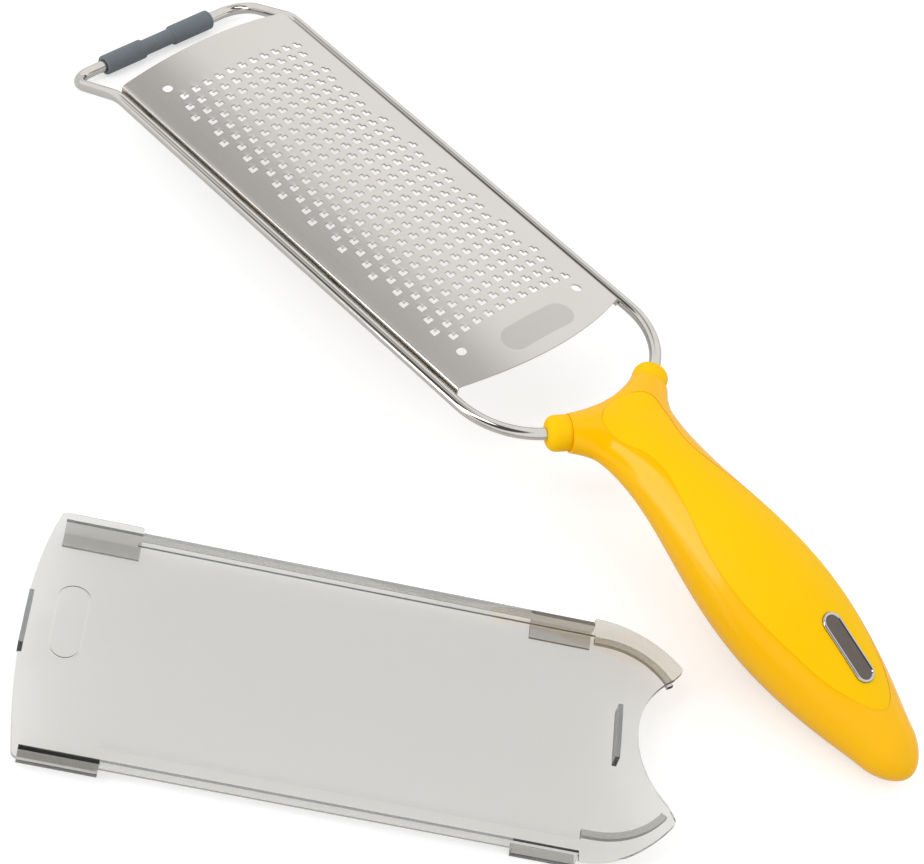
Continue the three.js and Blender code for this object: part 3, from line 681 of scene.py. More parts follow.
def rounded(corners, steps=6):
    """A closed outline from corners, each cut back by its own distance and rounded."""
    spots = [Vector(corner) for corner, _ in corners]
    points = []
    for k, (_, cut) in enumerate(corners):
        corner = spots[k]
        into, out = spots[k - 1] - corner, spots[(k + 1) % len(spots)] - corner
        cut = min(cut, MOST_CUT * into.length, MOST_CUT * out.length)
        start, finish = corner + into.normalized() * cut, corner + out.normalized() * cut
        shares = np.linspace(0, 1, steps) if cut > 0 else [0]
        for t in map(float, shares):
            points.append(start * (1 - t) ** 2 + corner * 2 * t * (1 - t) + finish * t ** 2)
    return points


def turned(name, profile, start, axis):
    """A ring-shaped solid: a closed profile of radius and distance, turned about an axis."""
    axis = axis.normalized()
    side = axis.orthogonal().normalized()
    other = axis.cross(side)
    rings = []
    for a in np.linspace(0, 2 * math.pi, LATHE_SIDES, endpoint=False):
        out = side * math.cos(a) + other * math.sin(a)
        rings.append([start + axis * along + out * radius for radius, along in profile])
    return new_object(name, *skin([*rings, rings[0]], closed_ends=False))


# %% Foot sleeve
SLEEVE_LENGTH = 40
SLEEVE_RADIUS = 2.97
SLEEVE_WAIST = 2.4
SLEEVE_WAIST_LENGTH = 11
SLEEVE_STEP = 0.5
SLEEVE_ROUND = 0.5
BORE = WIRE_RADIUS + 0.02

end, waist = SLEEVE_LENGTH / 2, SLEEVE_WAIST_LENGTH / 2
sleeve_corners = [
    (BORE, -end), (SLEEVE_RADIUS, -end), (SLEEVE_RADIUS, -waist - SLEEVE_STEP / 2), (SLEEVE_WAIST, -waist),
    (SLEEVE_WAIST, waist), (SLEEVE_RADIUS, waist + SLEEVE_STEP / 2), (SLEEVE_RADIUS, end), (BORE, end)]
sleeve_profile = rounded([(corner, SLEEVE_ROUND) for corner in sleeve_corners])
crossbar_middle = Vector((-CROSSBAR_REACH, 0, -CROSSBAR_DROP))
sleeve = turned("foot_sleeve_rubber", sleeve_profile, crossbar_middle, Vector((0, 1, 0)))
place(sleeve, GRATER, rubber, "grater", ["foot_sleeve"])

# %% [markdown]
# ## Handle form
#
# The handle's outside is one flowing form: a drooping teardrop that swells for the palm and grows
# two short ears at the front. Lofts joined by hand would leave a crease at the ears. Instead the form
# is written as a field that is zero on the skin, with the ears melted into the body, and a rough
# mesh is pulled onto it. The field also gives the exact normal everywhere, so highlights run clean.

# %% Spine of the handle
HANDLE_LENGTH = 125
HANDLE_DROOP = 31.5
HANDLE_NECK = 21
HANDLE_TAIL = 71
TAIL_SLOPE = math.tan(math.radians(16.3))
SPINE_OVERRUN = 15
SPINE_STEPS = 400

front_x = ear(1)[2].x + WIRE_RADIUS
end_x, end_z = front_x + HANDLE_LENGTH, RAIL_Z - HANDLE_DROOP
controls = np.array([(front_x, RAIL_Z), (front_x + HANDLE_NECK, RAIL_Z),
                     (end_x - HANDLE_TAIL, end_z + HANDLE_TAIL * TAIL_SLOPE), (end_x, end_z)])
t = np.linspace(0, 1, SPINE_STEPS)[:, None]
spine = ((1 - t) ** 3 * controls[0] + 3 * t * (1 - t) ** 2 * controls[1]
         + 3 * t ** 2 * (1 - t) * controls[2] + t ** 3 * controls[3])
first_way = (spine[1] - spine[0]) / np.linalg.norm(spine[1] - spine[0])
last_way = (spine[-1] - spine[-2]) / np.linalg.norm(spine[-1] - spine[-2])
spine = np.vstack([spine[0] - first_way * SPINE_OVERRUN, spine, spine[-1] + last_way * SPINE_OVERRUN])
spine_way = np.gradient(spine, axis=0)
spine_way /= np.linalg.norm(spine_way, axis=1)[:, None]
spine_at = np.concatenate([[0], np.cumsum(np.linalg.norm(np.diff(spine, axis=0), axis=1))]) - SPINE_OVERRUN
print(f"spine {spine_at[-1] - SPINE_OVERRUN:.1f} mm long")

# %% Outline of the handle


def smooth_curve(knots, values):
    """A natural cubic spline: passes through every value without a kink."""
    knots, values = np.array(knots, float), np.array(values, float)
    gap, count = np.diff(knots), len(knots)
    slope = np.diff(values) / gap
    system, target = np.eye(count), np.zeros(count)
    for k in range(1, count - 1):
        system[k, k - 1:k + 2] = gap[k - 1], 2 * (gap[k - 1] + gap[k]), gap[k]
        target[k] = 6 * (slope[k] - slope[k - 1])
    bend = np.linalg.solve(system, target)

    def at(x):
        x = np.clip(x, knots[0], knots[-1])
        k = np.clip(np.searchsorted(knots, x) - 1, 0, count - 2)
        step = x - knots[k]
        first = slope[k] - gap[k] * (2 * bend[k] + bend[k + 1]) / 6
        third = (bend[k + 1] - bend[k]) / (6 * gap[k])
        return values[k] + step * (first + step * (bend[k] / 2 + step * third))
    return at


# Along the spine, half the width and half the height, in millimetres.
OUTLINE = np.array([
    (0, 13.5, 4.0), (6, 15.6, 5.9), (12, 14.2, 7.1), (20, 12.7, 8.5), (32, 13, 10.4), (48, 15.3, 13.4),
    (64, 17.1, 15.5), (80, 17, 15.6), (94, 15, 14), (107, 11.9, 11.4), (117, 9.0, 8.9), (128.5, 6.6, 6.6)])
TAIL_ROUND = 9.5
outline_end = OUTLINE[-1, 0]
half_width = smooth_curve(OUTLINE[:, 0], OUTLINE[:, 1])
half_height = smooth_curve(OUTLINE[:, 0], OUTLINE[:, 2])
per_mm = outline_end / (spine_at[-1] - SPINE_OVERRUN)
print(f"handle up to {2 * OUTLINE[:, 1].max():.1f} mm wide")

# %% The field of the handle
EAR_RADIUS, EAR_ROOT_RADIUS = 5.0, 5.6
EAR_FADE, EAR_FADE_LENGTH = 0.05, 10
COLLAR_LENGTH = 6.3
EAR_START = 3.0
MELT = 4.0
FRONT_ROUND = 2.5
SPINE_ROUNDS = 6


def along_spine(x, z):
    """How far along the spine a point lies, and how high above it."""
    at = np.interp(x, spine[:, 0], spine_at)
    for _ in range(SPINE_ROUNDS):
        px, pz = np.interp(at, spine_at, spine[:, 0]), np.interp(at, spine_at, spine[:, 1])
        wx, wz = np.interp(at, spine_at, spine_way[:, 0]), np.interp(at, spine_at, spine_way[:, 1])
        at = at + (x - px) * wx + (z - pz) * wz
    return at * per_mm, (z - pz) * wx - (x - px) * wz


def melt(a, b, reach):
    """The smaller of two fields, rounded where they meet."""
    share = np.clip(0.5 + 0.5 * (b - a) / reach, 0, 1)
    return b + (a - b) * share - reach * share * (1 - share)


def handle_field(points):
    x, y, z = points.T
    at, above = along_spine(x, z)
    wide, high = half_width(at), half_height(at)
    tail = np.clip((at - outline_end + TAIL_ROUND) / TAIL_ROUND, 0, None)
    body = (np.sqrt((y / wide) ** 2 + (above / high) ** 2 + tail ** 2 + 1e-9) - 1) * np.minimum(wide, high)
    body = -melt(-body, -(front_x - x), FRONT_ROUND)
    for side in (-1, 1):
        _, inward, entry, _ = ear(side)
        root = side * entry.y / math.sin(EAR_ANGLE)
        offset = points - np.array(entry)
        along = offset @ np.array(inward)
        radial = np.linalg.norm(offset - along[:, None] * np.array(inward), axis=1)
        share = np.clip((along - COLLAR_LENGTH) / (root - COLLAR_LENGTH), 0, 1)
        stem = radial - (EAR_RADIUS + (EAR_ROOT_RADIUS - EAR_RADIUS) * share)
        stem = stem + EAR_FADE * np.clip(along - root + EAR_FADE_LENGTH, 0, None) ** 2
        body = melt(body, np.maximum(stem, EAR_START - along), MELT)
    return body


# %% Pulling points onto the field


def field_way(points, step=0.02):
    """The direction in which the field grows fastest, which is the skin's normal."""
    slopes = []
    for shift in np.eye(3) * step:
        slopes.append((handle_field(points + shift) - handle_field(points - shift)) / (2 * step))
    return np.array(slopes).T


def onto_form(points, rounds=5):
    for _ in range(rounds):
        slope = field_way(points)
        points = points - (handle_field(points) / np.sum(slope ** 2, axis=1))[:, None] * slope
    return points


# %% A rough mesh of the handle
VOXEL = 0.9
ROUGH_RINGS = 60
STEM_SIDES = 24


def spine_ring(at, wide, high, sides=32):
    px, pz, wx, wz = (np.interp(at / per_mm, spine_at, column)
                      for column in (spine[:, 0], spine[:, 1], spine_way[:, 0], spine_way[:, 1]))
    turns = np.linspace(0, 2 * math.pi, sides, endpoint=False)
    return [(px - wz * high * math.sin(a), wide * math.cos(a), pz + wx * high * math.sin(a)) for a in turns]


rough_rings = []
for at in np.linspace(0.5, outline_end - 0.4, ROUGH_RINGS):
    tail = max(0.0, (at - outline_end + TAIL_ROUND) / TAIL_ROUND)
    close = math.sqrt(max(0.0, 1 - tail ** 2))
    rough_rings.append(spine_ring(at, half_width(at) * close, half_height(at) * close))
handle = new_object("handle_hard", *skin(rough_rings))
stems = []
for side in (-1, 1):
    _, inward, entry, _ = ear(side)
    root = side * entry.y / math.sin(EAR_ANGLE)
    side_way = inward.cross(Vector((0, 0, 1)))
    rings = [[entry + inward * along + radius * (side_way * math.cos(a) + Vector((0, 0, 1)) * math.sin(a))
              for a in np.linspace(0, 2 * math.pi, STEM_SIDES, endpoint=False)]
             for along, radius in ((EAR_START, EAR_RADIUS), (root, EAR_ROOT_RADIUS))]
    stems.append(new_object("stem", *skin(rings)))
combine(handle, stems, "UNION")
remesh = handle.modifiers.new("voxels", "REMESH")
remesh.mode = "VOXEL"
remesh.voxel_size = VOXEL
settle(handle)
print("rough handle:", len(handle.data.vertices), "points")

# %% The rough mesh pulled onto the field
RELAX_ROUNDS, RELAX_SHARE = 4, 0.6


def mesh_points(piece):
    points = np.empty(len(piece.data.vertices) * 3)
    piece.data.vertices.foreach_get("co", points)
    return points.reshape(-1, 3)


edges = np.empty(len(handle.data.edges) * 2, int)
handle.data.edges.foreach_get("vertices", edges)
edges = edges.reshape(-1, 2)
points = onto_form(mesh_points(handle))
for _ in range(RELAX_ROUNDS):
    total, count = np.zeros_like(points), np.zeros(len(points))
    for a, b in ((0, 1), (1, 0)):
        np.add.at(total, edges[:, a], points[edges[:, b]])
        np.add.at(count, edges[:, a], 1)
    points = onto_form(points + RELAX_SHARE * (total / count[:, None] - points), 2)
handle.data.vertices.foreach_set("co", points.ravel())
print("handle form:", len(points), "points, worst miss", f"{np.abs(handle_field(points)).max():.3f} mm")

# %% [markdown]
# ## Soft inlay
#
# A softer plastic is moulded into the top of the hard handle, so that the palm doesn't slip. Seen
# from above it is a long leaf: broad at the ears, narrow at the neck, wide in the palm and rounded
# at the tail. The leaf is drawn in plan and dropped onto the form, so that its edge is a clean line.

# %% Leaf of the inlay
# Along the spine, and half the width of the leaf there.
INLAY = np.array([
    (3.2, 3.8), (4.8, 7), (7.3, 9.2), (11.2, 9.5), (15.4, 8.7), (19.5, 7.2),
    (26, 6.1), (34, 7.4), (44.2, 10.2), (53.4, 12.6), (66.6, 14.2), (78.6, 13.9),
    (91.1, 12), (102.6, 8.9), (109, 5.8), (112.3, 3.5), (113.6, 1.8)])
INLAY_BULGE, BULGE_POWER = 0.6, 8
INLAY_ROWS = 140
INLAY_COLUMNS = 31
INLAY_DEPTH, INLAY_BED = 2.0, 0.3
RECESS_RISE = 6
# How far in from the edge, and how much the edge has fallen there.
EDGE_ROUND = ((0.0, 0.2), (0.1, 0.08), (0.25, 0.02), (0.5, 0.0))
PARTING = 0.05

leaf_run = np.concatenate([[0], np.cumsum(np.linalg.norm(np.diff(INLAY, axis=0), axis=1))])
leaf_at, leaf_wide = smooth_curve(leaf_run, INLAY[:, 0]), smooth_curve(leaf_run, INLAY[:, 1])
print(f"leaf edge {leaf_run[-1]:.1f} mm long on each side")

# %% Leaf as a solid on the form
ABOVE_FORM, HALVINGS = 40, 30


def height_on_form(x, y):
    """The form's top over a plan point, found by halving."""
    low = np.interp(x, spine[:, 0], spine[:, 1])
    high = low + ABOVE_FORM
    for _ in range(HALVINGS):
        mid = (low + high) / 2
        outside = handle_field(np.stack([x, y, mid], axis=1)) > 0
        low, high = np.where(outside, low, mid), np.where(outside, mid, high)
    return (low + high) / 2


def leaf(margin, rise, depth, rounded_edge):
    """A solid over the leaf, from depth below the form's top to rise above it."""
    run = np.linspace(0, leaf_run[-1], INLAY_ROWS)
    at, wide = leaf_at(run), leaf_wide(run) + margin
    off_middle = at - (INLAY[0, 0] + INLAY[-1, 0]) / 2
    near_end = np.clip(np.abs(off_middle) / (at[-1] - at[0]) * 2, 0, 1) ** BULGE_POWER
    bulge = (INLAY_BULGE + margin) * np.sign(off_middle) * near_end
    insets = [inset for inset, _ in EDGE_ROUND]
    inner = np.linspace(-1, 1, INLAY_COLUMNS)[1:-1]
    lines = [*(("edge", -1, inset) for inset in insets), *(("inner", share, 0) for share in inner),
             *(("edge", 1, inset) for inset in reversed(insets))]
    grid = []
    for kind, share, inset in lines:
        y = share * (wide - (inset if kind == "edge" else insets[-1]))
        x = np.interp(at / per_mm + bulge * (1 - (y / wide) ** 2), spine_at, spine[:, 0])
        grid.append(np.stack([x, y, height_on_form(x, y)], axis=1))
    grid = np.array(grid)
    rows, columns = grid.shape[:2]
    drop = np.zeros((rows, columns))
    if rounded_edge:
        for k, (_, fall) in enumerate(EDGE_ROUND):
            for band in (drop[k], drop[-1 - k]):
                np.maximum(band, fall, out=band)
    up = np.array((0, 0, 1))
    tops = (grid + up * (rise - drop)[:, :, None]).reshape(-1, 3)
    bottoms = (grid - up * depth).reshape(-1, 3)
    quads = [(i * columns + j, i * columns + j + 1, (i + 1) * columns + j + 1, (i + 1) * columns + j)
             for i in range(rows - 1) for j in range(columns - 1)]
    return thickened(tops, bottoms, quads)


inlay = new_object("handle_inlay", *leaf(0, 0, INLAY_DEPTH - INLAY_BED, True))
recess = new_object("recess", *leaf(PARTING, RECESS_RISE, INLAY_DEPTH, False))
print("inlay leaf:", len(inlay.data.polygons), "faces")

# %% Ear ends and sockets
EAR_TOOL_RADIUS, EAR_TOOL_LEAD = 7.0, 4
EAR_PARTING = 0.15
SOCKET_GAP = 0.3
TOOL_SIDES = 48


def rod(name, start, way, radius, length):
    side = way.orthogonal().normalized()
    other = way.cross(side)
    rings = [[start + way * along + radius * (side * math.cos(a) + other * math.sin(a))
              for a in np.linspace(0, 2 * math.pi, TOOL_SIDES, endpoint=False)] for along in (0, length)]
    return new_object(name, *skin(rings))


tools = [recess]
for side in (-1, 1):
    _, inward, entry, reach = ear(side)
    ear_cut_length = EAR_TOOL_LEAD + COLLAR_LENGTH - EAR_PARTING
    tools.append(rod("ear_end", entry - inward * EAR_TOOL_LEAD, inward, EAR_TOOL_RADIUS, ear_cut_length))
    tools.append(rod("socket", entry, inward, WIRE_RADIUS + SOCKET_GAP, reach + SOCKET_GAP))
combine(handle, tools, "DIFFERENCE")
print("handle after cuts:", len(handle.data.polygons), "faces")

# %% [markdown]
# ## Yellow plastics
#
# The hard body is ABS from a polished mould: glossy, with a faint ripple. The inlay and the collars
# are a soft thermoplastic rubber of a lighter yellow. Their mould was lightly blasted, which leaves
# fine pits and a broad dull shine. The pits are about 0.05 mm wide, too fine to show, and are drawn
# 0.4 mm wide.

# %% Glossy ABS
abs_gloss = new_material("ABS, moulded glossy yellow")
spot = add_node(abs_gloss, "TexCoord").outputs["Object"]
flow = add_node(abs_gloss, "TexNoise", {"Vector": spot, "Scale": 1 / (18 * MM), "Detail": 2.0})
peel = add_node(abs_gloss, "TexNoise", {"Vector": spot, "Scale": 1 / (2.5 * MM), "Detail": 1.0})
tone = add_node(abs_gloss, "Mix", {0: flow.outputs[0], 6: linear("#FFBC00"), 7: linear("#FFC200")},
                data_type="RGBA")
gloss = add_node(abs_gloss, "MapRange", {"Value": flow.outputs[0], "To Min": 0.08, "To Max": 0.16})
ripple = add_node(abs_gloss, "Bump", {"Height": peel.outputs[0], "Strength": 0.04, "Distance": 0.05 * MM})
shade_with(abs_gloss, add_node(abs_gloss, "BsdfPrincipled", {
    "Base Color": tone.outputs[2], "Roughness": gloss.outputs[0], "IOR": 1.5, "Normal": ripple.outputs[0],
    "Specular IOR Level": 0.2}))

# %% Soft thermoplastic rubber
soft_grip = new_material("thermoplastic rubber, moulded matte yellow")
spot = add_node(soft_grip, "TexCoord").outputs["Object"]
flow = add_node(soft_grip, "TexNoise", {"Vector": spot, "Scale": 1 / (20 * MM), "Detail": 2.0})
pits = add_node(soft_grip, "TexNoise", {"Vector": spot, "Scale": 1 / (0.4 * MM), "Detail": 2.0})
tone = add_node(soft_grip, "Mix", {0: flow.outputs[0], 6: linear("#FFC500"), 7: linear("#FFCB00")},
                data_type="RGBA")
grip = add_node(soft_grip, "Bump", {"Height": pits.outputs[0], "Strength": 0.12, "Distance": 0.03 * MM})
gloss = add_node(soft_grip, "MapRange", {"Value": pits.outputs[0], "To Min": 0.42, "To Max": 0.56})
shade_with(soft_grip, add_node(soft_grip, "BsdfPrincipled", {
    "Base Color": tone.outputs[2], "Roughness": gloss.outputs[0], "IOR": 1.5, "Normal": grip.outputs[0],
    "Specular IOR Level": 0.1}))

# %% [markdown]
# ## Badge
#
# A plated capsule of cast zinc sits in a pocket near the tail. Its raised round rim is chrome, which
# mirrors sharply through a faint haze. Its dished middle is black nickel, a darker and softer mirror.
# Nested round-ended rings, each at its own height, give the form, and the dark face is a thin skin
# in the dish.

# %% Chrome plate
chrome = new_material("zinc casting, chrome plated")
spot = add_node(chrome, "TexCoord").outputs["Object"]
haze = add_node(chrome, "TexNoise", {"Vector": spot, "Scale": 1 / (2 * MM), "Detail": 4.0})
gloss = add_node(chrome, "MapRange", {"Value": haze.outputs[0], "To Min": 0.05, "To Max": 0.14})
tone = add_node(chrome, "Mix", {0: haze.outputs[0], 6: linear("#C9C9CB"), 7: linear("#BDBDC0")},
                data_type="RGBA")
shade_with(chrome, add_node(chrome, "BsdfPrincipled", {
    "Base Color": tone.outputs[2], "Metallic": 1.0, "Roughness": gloss.outputs[0]}))

# %% Badge and its pocket
BADGE_LENGTH, BADGE_WIDTH = 21, 6
BADGE_AT = 93
BADGE_PROUD = 0.25
# From the foot over the rim to the dished middle: how far in from the outline, and how high.
BADGE_SECTION = ((0.0, -1.4), (0.0, -0.35), (0.1, -0.12), (0.28, 0.0), (0.5, 0.02), (0.68, -0.08),
                 (0.8, -0.3), (0.95, -0.42), (1.5, -0.5), (2.2, -0.54), (2.7, -0.55))
POCKET_GAP, POCKET_FOOT, POCKET_TOP = 0.12, -1.3, 8


def on_top(at):
    ring = spine_ring(at, 0, half_height(at), 4)
    return Vector(ring[1])


badge_way = (on_top(BADGE_AT + BADGE_LENGTH / 4) - on_top(BADGE_AT - BADGE_LENGTH / 4)).normalized()
badge_up = Vector((-badge_way.z, 0, badge_way.x))
badge_frame = Matrix((badge_way, Vector((0, 1, 0)), badge_up)).transposed().to_4x4()
badge_frame.translation = on_top(BADGE_AT)


def badge_ring(inset, z):
    """The badge's outline, moved in and set to a height over the form."""
    outline = capsule(BADGE_LENGTH - 2 * inset, BADGE_WIDTH - 2 * inset)
    return [badge_frame @ Vector((x, y, z)) for x, y in outline]


badge = new_object("badge_plate", *skin([badge_ring(inset, z + BADGE_PROUD) for inset, z in BADGE_SECTION]))
pocket = new_object("pocket", *skin([badge_ring(-POCKET_GAP, z) for z in (POCKET_FOOT, POCKET_TOP)]))
combine(inlay, [pocket], "DIFFERENCE")
place(badge, GRATER, chrome, "grater", ["badge"])

# %% Black nickel plate
black_nickel = new_material("zinc casting, black nickel plated")
spot = add_node(black_nickel, "TexCoord").outputs["Object"]
haze = add_node(black_nickel, "TexNoise", {"Vector": spot, "Scale": 1 / (1.5 * MM), "Detail": 4.0})
gloss = add_node(black_nickel, "MapRange", {"Value": haze.outputs[0], "To Min": 0.18, "To Max": 0.3})
tone = add_node(black_nickel, "Mix", {0: haze.outputs[0], 6: linear("#6E6762"), 7: linear("#5F5954")},
                data_type="RGBA")
shade_with(black_nickel, add_node(black_nickel, "BsdfPrincipled", {
    "Base Color": tone.outputs[2], "Metallic": 1.0, "Roughness": gloss.outputs[0]}))

# %% Dark face of the badge
FACE_LIFT = 0.06
RIM_WIDTH = 0.7

dish = [(inset, z + BADGE_PROUD) for inset, z in BADGE_SECTION if inset > RIM_WIDTH]
face_foot = badge_ring(dish[0][0], dish[0][1] + FACE_LIFT / 4)
face_rings = [face_foot, *(badge_ring(inset, z + FACE_LIFT) for inset, z in dish)]
badge_face = new_object("badge_face", *skin(face_rings))
place(badge_face, GRATER, black_nickel, "grater")

# %% Finish the handle's pieces


def field_normals(piece, tolerance=0.03):
    """Normals from the field on the form's skin, and plain ones on cut faces."""
    points = mesh_points(piece)
    on_skin = np.abs(handle_field(points)) < tolerance
    ways = field_way(points)
    ways /= np.linalg.norm(ways, axis=1)[:, None]
    ways = ways @ np.array(GRATER.to_3x3().normalized()).T
    normals = np.zeros((len(piece.data.loops), 3))
    for face in piece.data.polygons:
        whole = all(on_skin[k] for k in face.vertices)
        for loop, k in zip(face.loop_indices, face.vertices):
            if whole:
                normals[loop] = ways[k]
    return normals


hard_normals = field_normals(handle)
place(handle, GRATER, abs_gloss, "grater", ["handle_body"])
resting = mesh_points(handle)
resting[:, 2] = np.maximum(resting[:, 2], 0)
handle.data.vertices.foreach_set("co", resting.ravel())
handle.data.normals_split_custom_set(hard_normals)
soft_normals = field_normals(inlay)
place(inlay, GRATER, soft_grip, "grater", ["soft_inlay"])
inlay.data.normals_split_custom_set(soft_normals)

# %% [markdown]
# ## Ear collars
#
# Where the wire enters the ears, a soft collar with a round nose closes the joint. It is turned as
# the sleeve is, and stops a hair short of the hard ear, so that the parting shows as a fine line.

# %% Collars
COLLAR_NOSE = 2.7
COLLAR_ROUND = 2.6
COLLAR_GAP = 0.2
CHAMFER_IN, CHAMFER_BACK = 0.12, 0.15
NOSE_STEPS = 10

nose = [(COLLAR_NOSE + (EAR_RADIUS - COLLAR_NOSE) * math.sin(a), COLLAR_ROUND * (1 - math.cos(a)))
        for a in np.linspace(0, math.pi / 2, NOSE_STEPS)]
collar_back = COLLAR_LENGTH - COLLAR_GAP
collar_profile = [(BORE, 0.0), *nose, (EAR_RADIUS, collar_back - CHAMFER_BACK),
                  (EAR_RADIUS - CHAMFER_IN, collar_back), (BORE, collar_back)]
for word, side in (("near", -1), ("far", 1)):
    _, inward, entry, _ = ear(side)
    collar = turned(f"collar_{word}", collar_profile, entry, inward)
    place(collar, GRATER, soft_grip, "grater", [f"ear_collar_{word}"])

# %% [markdown]
# ## Smoke plastic
#
# The cover is a clear, grey-tinted styrene plastic. The tint is in the plastic, so a wall seen
# edge-on looks much darker than one seen through its thickness. A tinted volume does that by itself.
# A small part of the tint is set on the surface, or the thickest walls would turn black.

# %% Clear smoke styrene
SMOKE_PER_METRE = 205

smoke = new_material("styrene, moulded clear smoke")
spot = add_node(smoke, "TexCoord").outputs["Object"]
sink = add_node(smoke, "TexNoise", {"Vector": spot, "Scale": 1 / (14 * MM), "Detail": 1.0})
gloss = add_node(smoke, "MapRange", {"Value": sink.outputs[0], "To Min": 0.01, "To Max": 0.05})
wave = add_node(smoke, "Bump", {"Height": sink.outputs[0], "Strength": 0.04, "Distance": 0.1 * MM})
clear_grey = add_node(smoke, "BsdfPrincipled", {
    "Base Color": linear("#E4E2DD"), "Roughness": gloss.outputs[0], "IOR": 1.45, "Transmission Weight": 1.0,
    "Specular IOR Level": 0.3, "Normal": wave.outputs[0]})
tint = add_node(smoke, "VolumeAbsorption", {"Color": linear("#4D5E6F"), "Density": SMOKE_PER_METRE})
shade_with(smoke, clear_grey, tint)

# %% [markdown]
# ## Cover
#
# The cover slips over the blade from the tip. Its roof is a shallow arch. Two clips at the tip and
# two flaps before the horns hook under the rails, a stop tab hangs at each end of the blade, and low
# skirts run along the sides. At the handle end two horns reach round the wire's bends, with a
# hanging wall inside each, and a notch leaves room for the handle. A low bead runs under each side
# of the roof, and a fine groove outlines a capsule near the tip. Each wall is its own solid, and
# they are joined into one shell. The clips, flaps and skirts thin towards their free edges, as they
# must to leave the mould.

# %% Cover sizes
WALL = 1.2
ROOF_GAP = 1.9
COVER_ARCH = 123
TIP_BULGE = 4.2
CLIP_LENGTH, CLIP_LIP = 21.5, 2.4
HOOK, HOOK_REACH = 1.1, 3.4
DRAFT = 0.45
SKIRT_DEPTH = 2.4
BEAD_WIDTH, BEAD_HEIGHT, BEAD_INSET = 2.4, 0.25, 4.8
FLAP_LENGTH = 16.5
STOP_LENGTH, STOP_DEPTH, STOP_MARGIN = 16.5, 4.6, 0.8
HORN_LIP, HORN_LENGTH, HORN_TIP_WIDTH = 1.7, 11.8, 2
HORN_LEAVES, HORN_ARRIVES = (11, 0.4), (-4, 6)
HORN_WALL, HORN_WALL_DEPTH, HORN_WALL_TURN = 1.8, 4.4, math.radians(56)
NOTCH_RADIUS, NOTCH_BACK, NOTCH_CORNER = 26, 4.2, 2

cover_top = arch_point(0)[1] + SHEET / 2 + ROOF_GAP + WALL
hook_top = RAIL_Z - WIRE_RADIUS - SEAT_GAP
cover_foot = hook_top - HOOK
wall_in = RAIL_Y + WIRE_RADIUS + SEAT_GAP
wall_out = wall_in + WALL
stop_tip = -STOP_MARGIN - WALL
stop_end = BLADE_LENGTH + END_BULGE + STOP_MARGIN
clip_start = stop_tip + TIP_BULGE
clip_end = clip_start + CLIP_LENGTH
horn_start = RAIL_BEND_START - WALL - WIRE_RADIUS
notch_front = stop_end + WALL + NOTCH_BACK
horn_reach = notch_front + HORN_LENGTH
notch_y = math.sqrt(NOTCH_RADIUS ** 2 - (NOTCH_RADIUS - HORN_LENGTH) ** 2)
horn_tip_y = notch_y + HORN_TIP_WIDTH
print(f"cover {stop_tip:.1f} to {horn_reach:.1f} mm, top at {cover_top:.2f}, foot at {cover_foot:.2f}")

# %% Outline of the roof
TIP_CORNER, CLIP_CORNER, STEP_CORNER, HORN_CORNER = 1.6, 1.5, 0.5, 1.3
CURVE_STEPS = 24


def bezier(start, first, second, finish):
    share = np.linspace(0, 1, CURVE_STEPS)[:, None]
    parts = [np.array(p, float) for p in (start, first, second, finish)]
    return ((1 - share) ** 3 * parts[0] + 3 * share * (1 - share) ** 2 * parts[1]
            + 3 * share ** 2 * (1 - share) * parts[2] + share ** 3 * parts[3])


def half_plan():
    """One side of the roof, from the tip to the notch: corners and how far each is cut."""
    clip_y, horn_y = wall_out + CLIP_LIP, wall_out + HORN_LIP
    tip = [(stop_tip + TIP_BULGE * (y / clip_y) ** 2, y)
           for y in np.linspace(0, clip_y - 2 * TIP_CORNER, CURVE_STEPS)]
    root, point = np.array((horn_start, horn_y)), np.array((horn_reach, horn_tip_y))
    # The horn's curve stops short of its tip, where the rounded corner takes over.
    horn = bezier(root, root + HORN_LEAVES, point + HORN_ARRIVES, point)[1:-3]
    notch_half = math.asin((notch_y - NOTCH_CORNER) / NOTCH_RADIUS)
    notch = [(notch_front + NOTCH_RADIUS * (1 - math.cos(a)), NOTCH_RADIUS * math.sin(a))
             for a in np.linspace(notch_half, 0, CURVE_STEPS)]
    return [*((corner, 0) for corner in tip),
            ((clip_start, clip_y), TIP_CORNER), ((clip_end, clip_y), CLIP_CORNER),
            ((clip_end, wall_out), STEP_CORNER),
            ((horn_start, wall_out), STEP_CORNER), ((horn_start, horn_y), STEP_CORNER),
            *((tuple(corner), 0) for corner in horn), ((horn_reach, horn_tip_y), HORN_CORNER),
            *((corner, 0) for corner in notch)]


half_corners = half_plan()
plan_corners = half_corners + [((x, -y), cut) for (x, y), cut in reversed(half_corners[1:-1])]
plan = rounded(plan_corners)
print("outline of the roof:", len(plan), "points")


def roof_height(y):
    return cover_top - COVER_ARCH + math.sqrt(COVER_ARCH ** 2 - y ** 2)


# %% Roof
ROOF_LINES = 81
ROOF_ROWS = 41
SLAB_OVER, STAMP_OVER = 3, 2


def arch_slab(low, high):
    """A solid under or between arches, wider and longer than the cover."""
    reach = wall_out + CLIP_LIP + WALL
    tops, bottoms = [], []
    for x in np.linspace(stop_tip - SLAB_OVER, horn_reach + SLAB_OVER, ROOF_ROWS):
        for y in np.linspace(-reach, reach, ROOF_LINES):
            tops.append((x, y, roof_height(y) + high))
            bottoms.append((x, y, cover_foot - SLAB_OVER if low is None else roof_height(y) + low))
    starts = [i * ROOF_LINES + j for i in range(ROOF_ROWS - 1) for j in range(ROOF_LINES - 1)]
    return thickened(tops, bottoms, [(a, a + ROOF_LINES, a + ROOF_LINES + 1, a + 1) for a in starts])


